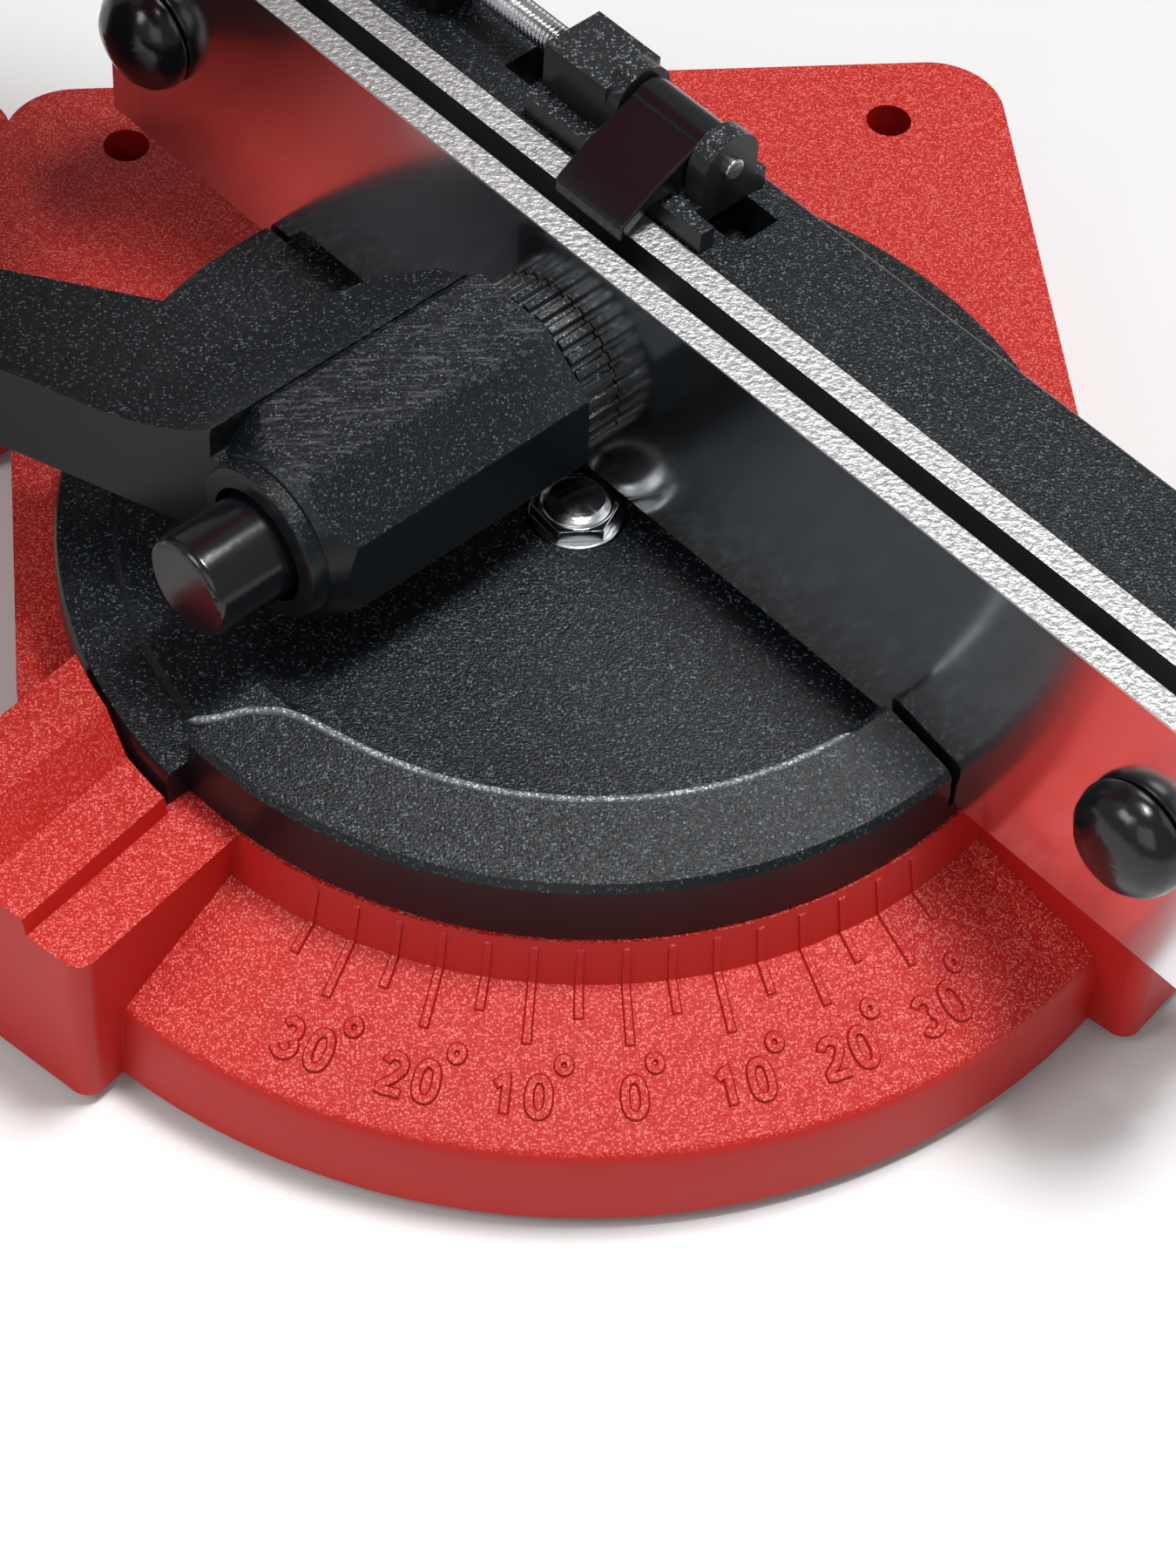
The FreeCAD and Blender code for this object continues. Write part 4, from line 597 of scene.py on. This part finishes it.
def threaded(name, start, end, radius, pitch, finish, body, slot):
    """A screw thread: the radius falls by 0.55 pitch in a wave that runs round once in each pitch, and the
    first and last pitch taper to the root. Millimetres in, metres out."""
    start, end = np.asarray(start, float), np.asarray(end, float)
    axis, side, other = square_to(end - start)
    length = np.linalg.norm(end - start)
    along = np.linspace(0, length, int(length / pitch * 7) + 1)[:, None]
    angle = np.linspace(0, 2 * np.pi, 32, endpoint=False)[None, :]
    phase = np.mod(along / pitch - angle / (2 * np.pi), 1)
    wave = np.clip(np.abs(2 * phase - 1) * 1.25 - 0.1, 0, 1)
    taper = np.clip(np.minimum(along, length - along) / pitch + 0.15, 0, 1)
    reach = radius - 0.55 * pitch * (1 - wave * taper)
    spokes = np.cos(angle)[..., None] * side + np.sin(angle)[..., None] * other
    rings = start + axis * along[..., None] + spokes * reach[..., None]
    return pave(name, rings[None] * mm, [0] * 32, [finish], body, smooth=True)


def streaked(name):
    """The black plastic with fine pale streaks on the top of the boss, rubbed by a hand."""
    material = black_plastic.copy()
    material.name = name
    tree = material.node_tree
    shader = tree.nodes["Principled BSDF"]
    place = add(tree, "ShaderNodeTexCoord").outputs["Object"]
    apart = add(tree, "ShaderNodeSeparateXYZ", {"Vector": place})
    short = add(tree, "ShaderNodeMath", {0: apart.outputs["X"], 1: 0.12}, operation="MULTIPLY")
    drawn = add(tree, "ShaderNodeCombineXYZ", {"X": short.outputs[0], "Y": apart.outputs["Y"],
                                               "Z": apart.outputs["Z"]})
    lines = add(tree, "ShaderNodeTexNoise", {"Vector": drawn.outputs[0], "Scale": 1500, "Detail": 3,
                                             "Roughness": 0.7})
    pale = add(tree, "ShaderNodeMapRange", {"Value": lines.outputs["Fac"], "From Min": 0.53,
                                            "From Max": 0.72})
    high = add(tree, "ShaderNodeMapRange", {"Value": apart.outputs["Z"], "From Min": 0.0628,
                                            "From Max": 0.0634})
    mask = add(tree, "ShaderNodeMath", {0: pale.outputs[0], 1: high.outputs[0]}, operation="MULTIPLY")
    before = shader.inputs["Base Color"].links[0].from_socket
    rubbed = add(tree, "ShaderNodeMix", {"Factor": mask.outputs[0], "A": before,
                                         "B": (0.065, 0.07, 0.078, 1)}, data_type="RGBA")
    tree.links.new(rubbed.outputs["Result"], shader.inputs["Base Color"])
    return material


black_nylon = moulded("black_nylon", (0.008, 0.010, 0.012), (0.014, 0.016, 0.018), (0.26, 0.28, 0.30),
                      0.30, 2900, 0.4, 0.6, 0.4)
stud_ends = on_swivel([(-10, 31.0, 52), (-10, -14.0, 52)])
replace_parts(threaded("stud_thread", *stud_ends, 4.0, 1.25, bright_zinc, "swivel", "bright_zinc"),
            "clamp_stud")
dress("clamp_hub", black_nylon, 0.00012)
dress("lever_pin", black_steel, 0.0006)
dress("clamp_lever", streaked("lever_plastic"), 0.0011)
spring_ends = on_swivel([(-10, -31.1, 52), (-10, -40.4, 52)])
lever_coil = coil("lever_coil", *spring_ends, 6.1, 0.7, 5, spring_steel, "clamp_hub", "spring_steel")
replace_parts(lever_coil, "lever_spring")
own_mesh(lever_coil)

# Chain stop.
# A nylon slide on top of the block is moved along the rails by a thumb screw. Its steel finger drops into
# the gap behind a cutter of the chain.
dress("stop_carriage", black_nylon, 0.0004)
dress("pawl_pin", spring_steel)
dress("stop_pawl", black_steel, 0.0004)


def turned(name, profile, start, axis, finish, body, grooves=0, depth=0.0, between=(0, 0), count=96):
    """A profile of (along, radius) swept round an axis. Between two heights the radius is cut by evenly spaced
    round grooves. Millimetres in, metres out."""
    profile = np.asarray(profile, float)
    axis, side, other = square_to(axis)
    angle = np.linspace(0, 2 * np.pi, count, endpoint=False)[None, :]
    cut = depth * np.clip(np.cos(grooves * angle) * 1.6 - 0.4, 0, 1) if grooves else 0 * angle
    gripped = ((profile[:, 0] >= between[0]) & (profile[:, 0] <= between[1]))[:, None]
    reach = profile[:, 1][:, None] - cut * gripped
    spokes = np.cos(angle)[..., None] * side + np.sin(angle)[..., None] * other
    rings = np.asarray(start, float) + axis * profile[:, 0][:, None, None] + spokes * reach[..., None]
    piece = pave(name, rings[None] * mm, [0] * count, [finish], body, smooth=True)
    shade = piece.modifiers.new("shade", "WEIGHTED_NORMAL")
    shade.mode = "FACE_AREA_WITH_ANGLE"
    return piece


thumb_line = on_swivel([(-56.5, 24, 77.4), (-25, 24, 77.4), (-64, 24, 77.4), (-50.1, 24, 77.4)])
rail_way = thumb_line[1] - thumb_line[0]
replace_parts(threaded("thumb_thread", thumb_line[0], thumb_line[1], 2.0, 0.7, bright_zinc, "stop_screw",
                     "black_nylon"),
            "stop_screw")
turned("thumb_knob", [(0, 4.2), (0.7, 5.2), (0.9, 5.4), (7.1, 5.4), (7.4, 5.2), (8.0, 4.2), (8.0, 2.4),
                      (13.9, 2.4)],
       thumb_line[2], rail_way, black_nylon, "stop_screw", 20, 0.5, (0.5, 7.6), 160)
turned("thumb_collar", [(0, 2.6), (0.3, 3.1), (1.4, 3.1), (1.7, 2.6)], thumb_line[3], rail_way, bright_zinc,
       "stop_screw")

# Head and depth stop.
# The motor barrel and its arm are one red moulding that swings on brass bushes. Vents are cut in the black
# rear cap. The screw through the arm lands on the post of the bracket and sets how low the wheel goes.


def on_head(points):
    """From the lowered head to where it rests: a turn of 50 degrees up about the hinge pin."""
    points = np.asarray(points, float)
    c, s = math.cos(math.radians(50)), math.sin(math.radians(50))
    x, z = points[..., 0] - hinge_x, points[..., 2] - hinge_z
    return np.stack([hinge_x + x * c - z * s, points[..., 1], hinge_z + x * s + z * c], axis=-1)


aluminium = metal("aluminium", (0.55, 0.56, 0.58), (0.70, 0.71, 0.73), 0.24, 0.42)
dress("head_housing", red_plastic, 0.0010)
dress("hinge_bushes", brass)
dress("front_plate", aluminium, 0.0005)
dress("rear_cap", black_plastic, 0.0008)
dress("cable_gland", rubber, 0.0005)
depth_line = on_head([(-90.5, 70, 79.05), (-90.5, 70, 131), (-90.5, 70, 124.3)])
depth_way = depth_line[1] - depth_line[0]
depth_thread = threaded("depth_thread", depth_line[0], depth_line[1], 2.9, 1.25, bright_zinc, "depth_screw",
                        "bright_zinc")
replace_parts(depth_thread, "depth_screw")
grip_profile = [(0, 5.0), (0, 8.0), (0.6, 8.7), (1.0, 9.0), (8.0, 9.0), (8.5, 8.7), (9.0, 8.0), (9.0, 5.0),
                (8.4, 4.2), (8.4, 3.2)]
depth_grip = turned("depth_grip", grip_profile, depth_line[2], depth_way, black_plastic, "depth_knob",
                    24, 0.7, (0.3, 8.8), 192)
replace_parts(depth_grip, "depth_knob")

# Motor.
# A pressed stack of laminations stands round a slotted core on the spindle, between two ball bearings.
# Carbon brushes run on the copper bars of the commutator, and a nylon fan blows air out at the back.
laminations = metal("laminations", (0.16, 0.16, 0.17), (0.28, 0.28, 0.29), 0.35, 0.6, 300, 0.6)
copper = metal("copper", (0.55, 0.24, 0.12), (0.72, 0.34, 0.18), 0.2, 0.4)
carbon = moulded("carbon", (0.02, 0.02, 0.022), (0.035, 0.035, 0.037), (0.1, 0.1, 0.1), 0.6, 1800, 0.3, 0.5)
dress("stator rotor", laminations)
dress("front_bearing rear_bearing spindle", spring_steel)
dress("brush_holders", brass)
dress("carbon_brushes", carbon)
dress("commutator", copper, 0.0002)
dress("cooling_fan", black_nylon)

# Wheel.
# A vitrified wheel for saw chain, with open grain, on a spigot of the inner flange. The outer flange and a
# nut clamp it, with a paper washer under each flange.


def grit(name):
    """Fused grains: cells of three tones with dark pores between them."""
    material, tree, shader = new_material(name)
    place = add(tree, "ShaderNodeTexCoord").outputs["Object"]
    cells = add(tree, "ShaderNodeTexVoronoi", {"Vector": place, "Scale": 1500})
    pores = add(tree, "ShaderNodeTexNoise", {"Vector": place, "Scale": 700, "Detail": 4, "Roughness": 0.7})
    lot = add(tree, "ShaderNodeSeparateColor", {"Color": cells.outputs["Color"]})
    tone = add(tree, "ShaderNodeMix", {"Factor": lot.outputs[0], "A": (0.32, 0.08, 0.06, 1),
                                       "B": (0.62, 0.26, 0.21, 1)}, data_type="RGBA")
    open_pore = add(tree, "ShaderNodeMapRange",
                    {"Value": pores.outputs["Fac"], "From Min": 0.56, "From Max": 0.64})
    colour = add(tree, "ShaderNodeMix", {"Factor": open_pore.outputs[0], "A": tone.outputs["Result"],
                                         "B": (0.07, 0.02, 0.018, 1)}, data_type="RGBA")
    tree.links.new(colour.outputs["Result"], shader.inputs["Base Color"])
    gloss = add(tree, "ShaderNodeMapRange", {"Value": lot.outputs[1], "To Min": 0.55, "To Max": 0.95})
    tree.links.new(gloss.outputs[0], shader.inputs["Roughness"])
    height = add(tree, "ShaderNodeMath", {0: cells.outputs["Distance"], 1: open_pore.outputs[0]},
                 operation="ADD")
    relief = add(tree, "ShaderNodeBump", {"Height": height.outputs[0], "Strength": 0.7, "Distance": -0.0003})
    tree.links.new(relief.outputs[0], shader.inputs["Normal"])
    return material


abrasive = grit("abrasive")
dress("grinding_wheel", abrasive, 0.0003)
dress("inner_flange outer_flange", aluminium, 0.0004)
dress("spindle_nut", bright_zinc, 0.0005)
blotter = moulded("blotter", (0.50, 0.44, 0.30), (0.60, 0.54, 0.40), (0.7, 0.65, 0.5), 0.85, 1500, 0.1,
                  0.3, 0.2)
wheel_z, around = 127.0, np.linspace(0, 2 * np.pi, 96, endpoint=False)[:, None]
washer_r, washer_rise = np.array([17.1, 21.0, 21.0, 17.1]), np.array([0.0, 0.0, 0.3, 0.3])
washers = np.stack([np.stack([washer_r * np.cos(around), side * (1.6 + washer_rise) + 0 * around,
                              wheel_z + washer_r * np.sin(around)], axis=-1) for side in (-1, 1)])
pave("paper_washers", on_head(washers) * mm, [0] * 4, [blotter], "spindle", closed=True)

# Guard.
# A cast cup behind the wheel and a cover over it, both under black powder coat. Zinc plated screws hold the
# cover at its rim, and a raised arrow on the cover shows which way the wheel turns.
dress("guard_rear guard_cover", cast_black, 0.0007)
dress("guard_screws", bright_zinc, 0.0003)
arrow_radius, shaft_half, head_half = 42, 1.3, 3.6
shaft_sweep = np.radians(np.linspace(150, 60, 30))
head_sweep = np.radians(np.array([60.0, 60.0, 46.0]))
arrow_angle = np.concatenate([shaft_sweep, head_sweep])[:, None]
half_widths = np.concatenate([np.full(30, shaft_half), [shaft_half, head_half, 0.02]])
arrow_half = half_widths[:, None] * np.array([[1.0, 1.0, -1.0, -1.0]])
arrow_y = np.array([[-15.0, -15.75, -15.75, -15.0]])
arrow = np.stack([(arrow_radius + arrow_half) * np.cos(arrow_angle), arrow_y + 0 * arrow_half,
                  wheel_z + (arrow_radius + arrow_half) * np.sin(arrow_angle)], axis=-1)
pave("turn_arrow", on_head(arrow)[None] * mm, [0] * 4, [cast_black], "head")

# Handle and switch.
# Two half shells, black below and red above, screwed together round the switch. The underside is ribbed for
# the fingers.
switch_black = moulded("switch_black", (0.008, 0.008, 0.009), (0.014, 0.014, 0.015), (0.03, 0.03, 0.03),
                       0.22, 2600, 0.1, 0.1)
switch_red = moulded("switch_red", (0.50, 0.008, 0.006), (0.58, 0.012, 0.010), (0.7, 0.05, 0.04), 0.2,
                     2600, 0.1, 0.1)
dress("handle_lower", black_plastic, 0.0010)
dress("handle_upper", red_plastic, 0.0010)
dress("handle_screws", bright_zinc)
dress("switch_body", switch_black, 0.0004)
dress("switch_rocker", switch_red, 0.0004)
rib_x = np.arange(58.0, 99.0, 6.0)[:, None, None]
rib_turn = np.linspace(0, 2 * np.pi, 14, endpoint=False)[None, None, :]
rib_y = np.linspace(50.5, 67.5, 9)[None, :, None]
rib_end = np.array([0.1, 0.7, 1, 1, 1, 1, 1, 0.7, 0.1])[None, :, None]
rib_top = wheel_z - 13.7 + 0.0288 * (rib_x - 54)
ribs = np.stack(np.broadcast_arrays(rib_x + 1.3 * rib_end * np.cos(rib_turn), rib_y,
                                    rib_top + 1.0 * rib_end * np.sin(rib_turn)), axis=-1)
pave("finger_ribs", on_head(ribs) * mm, [0] * 14, [black_plastic], "head", smooth=True)
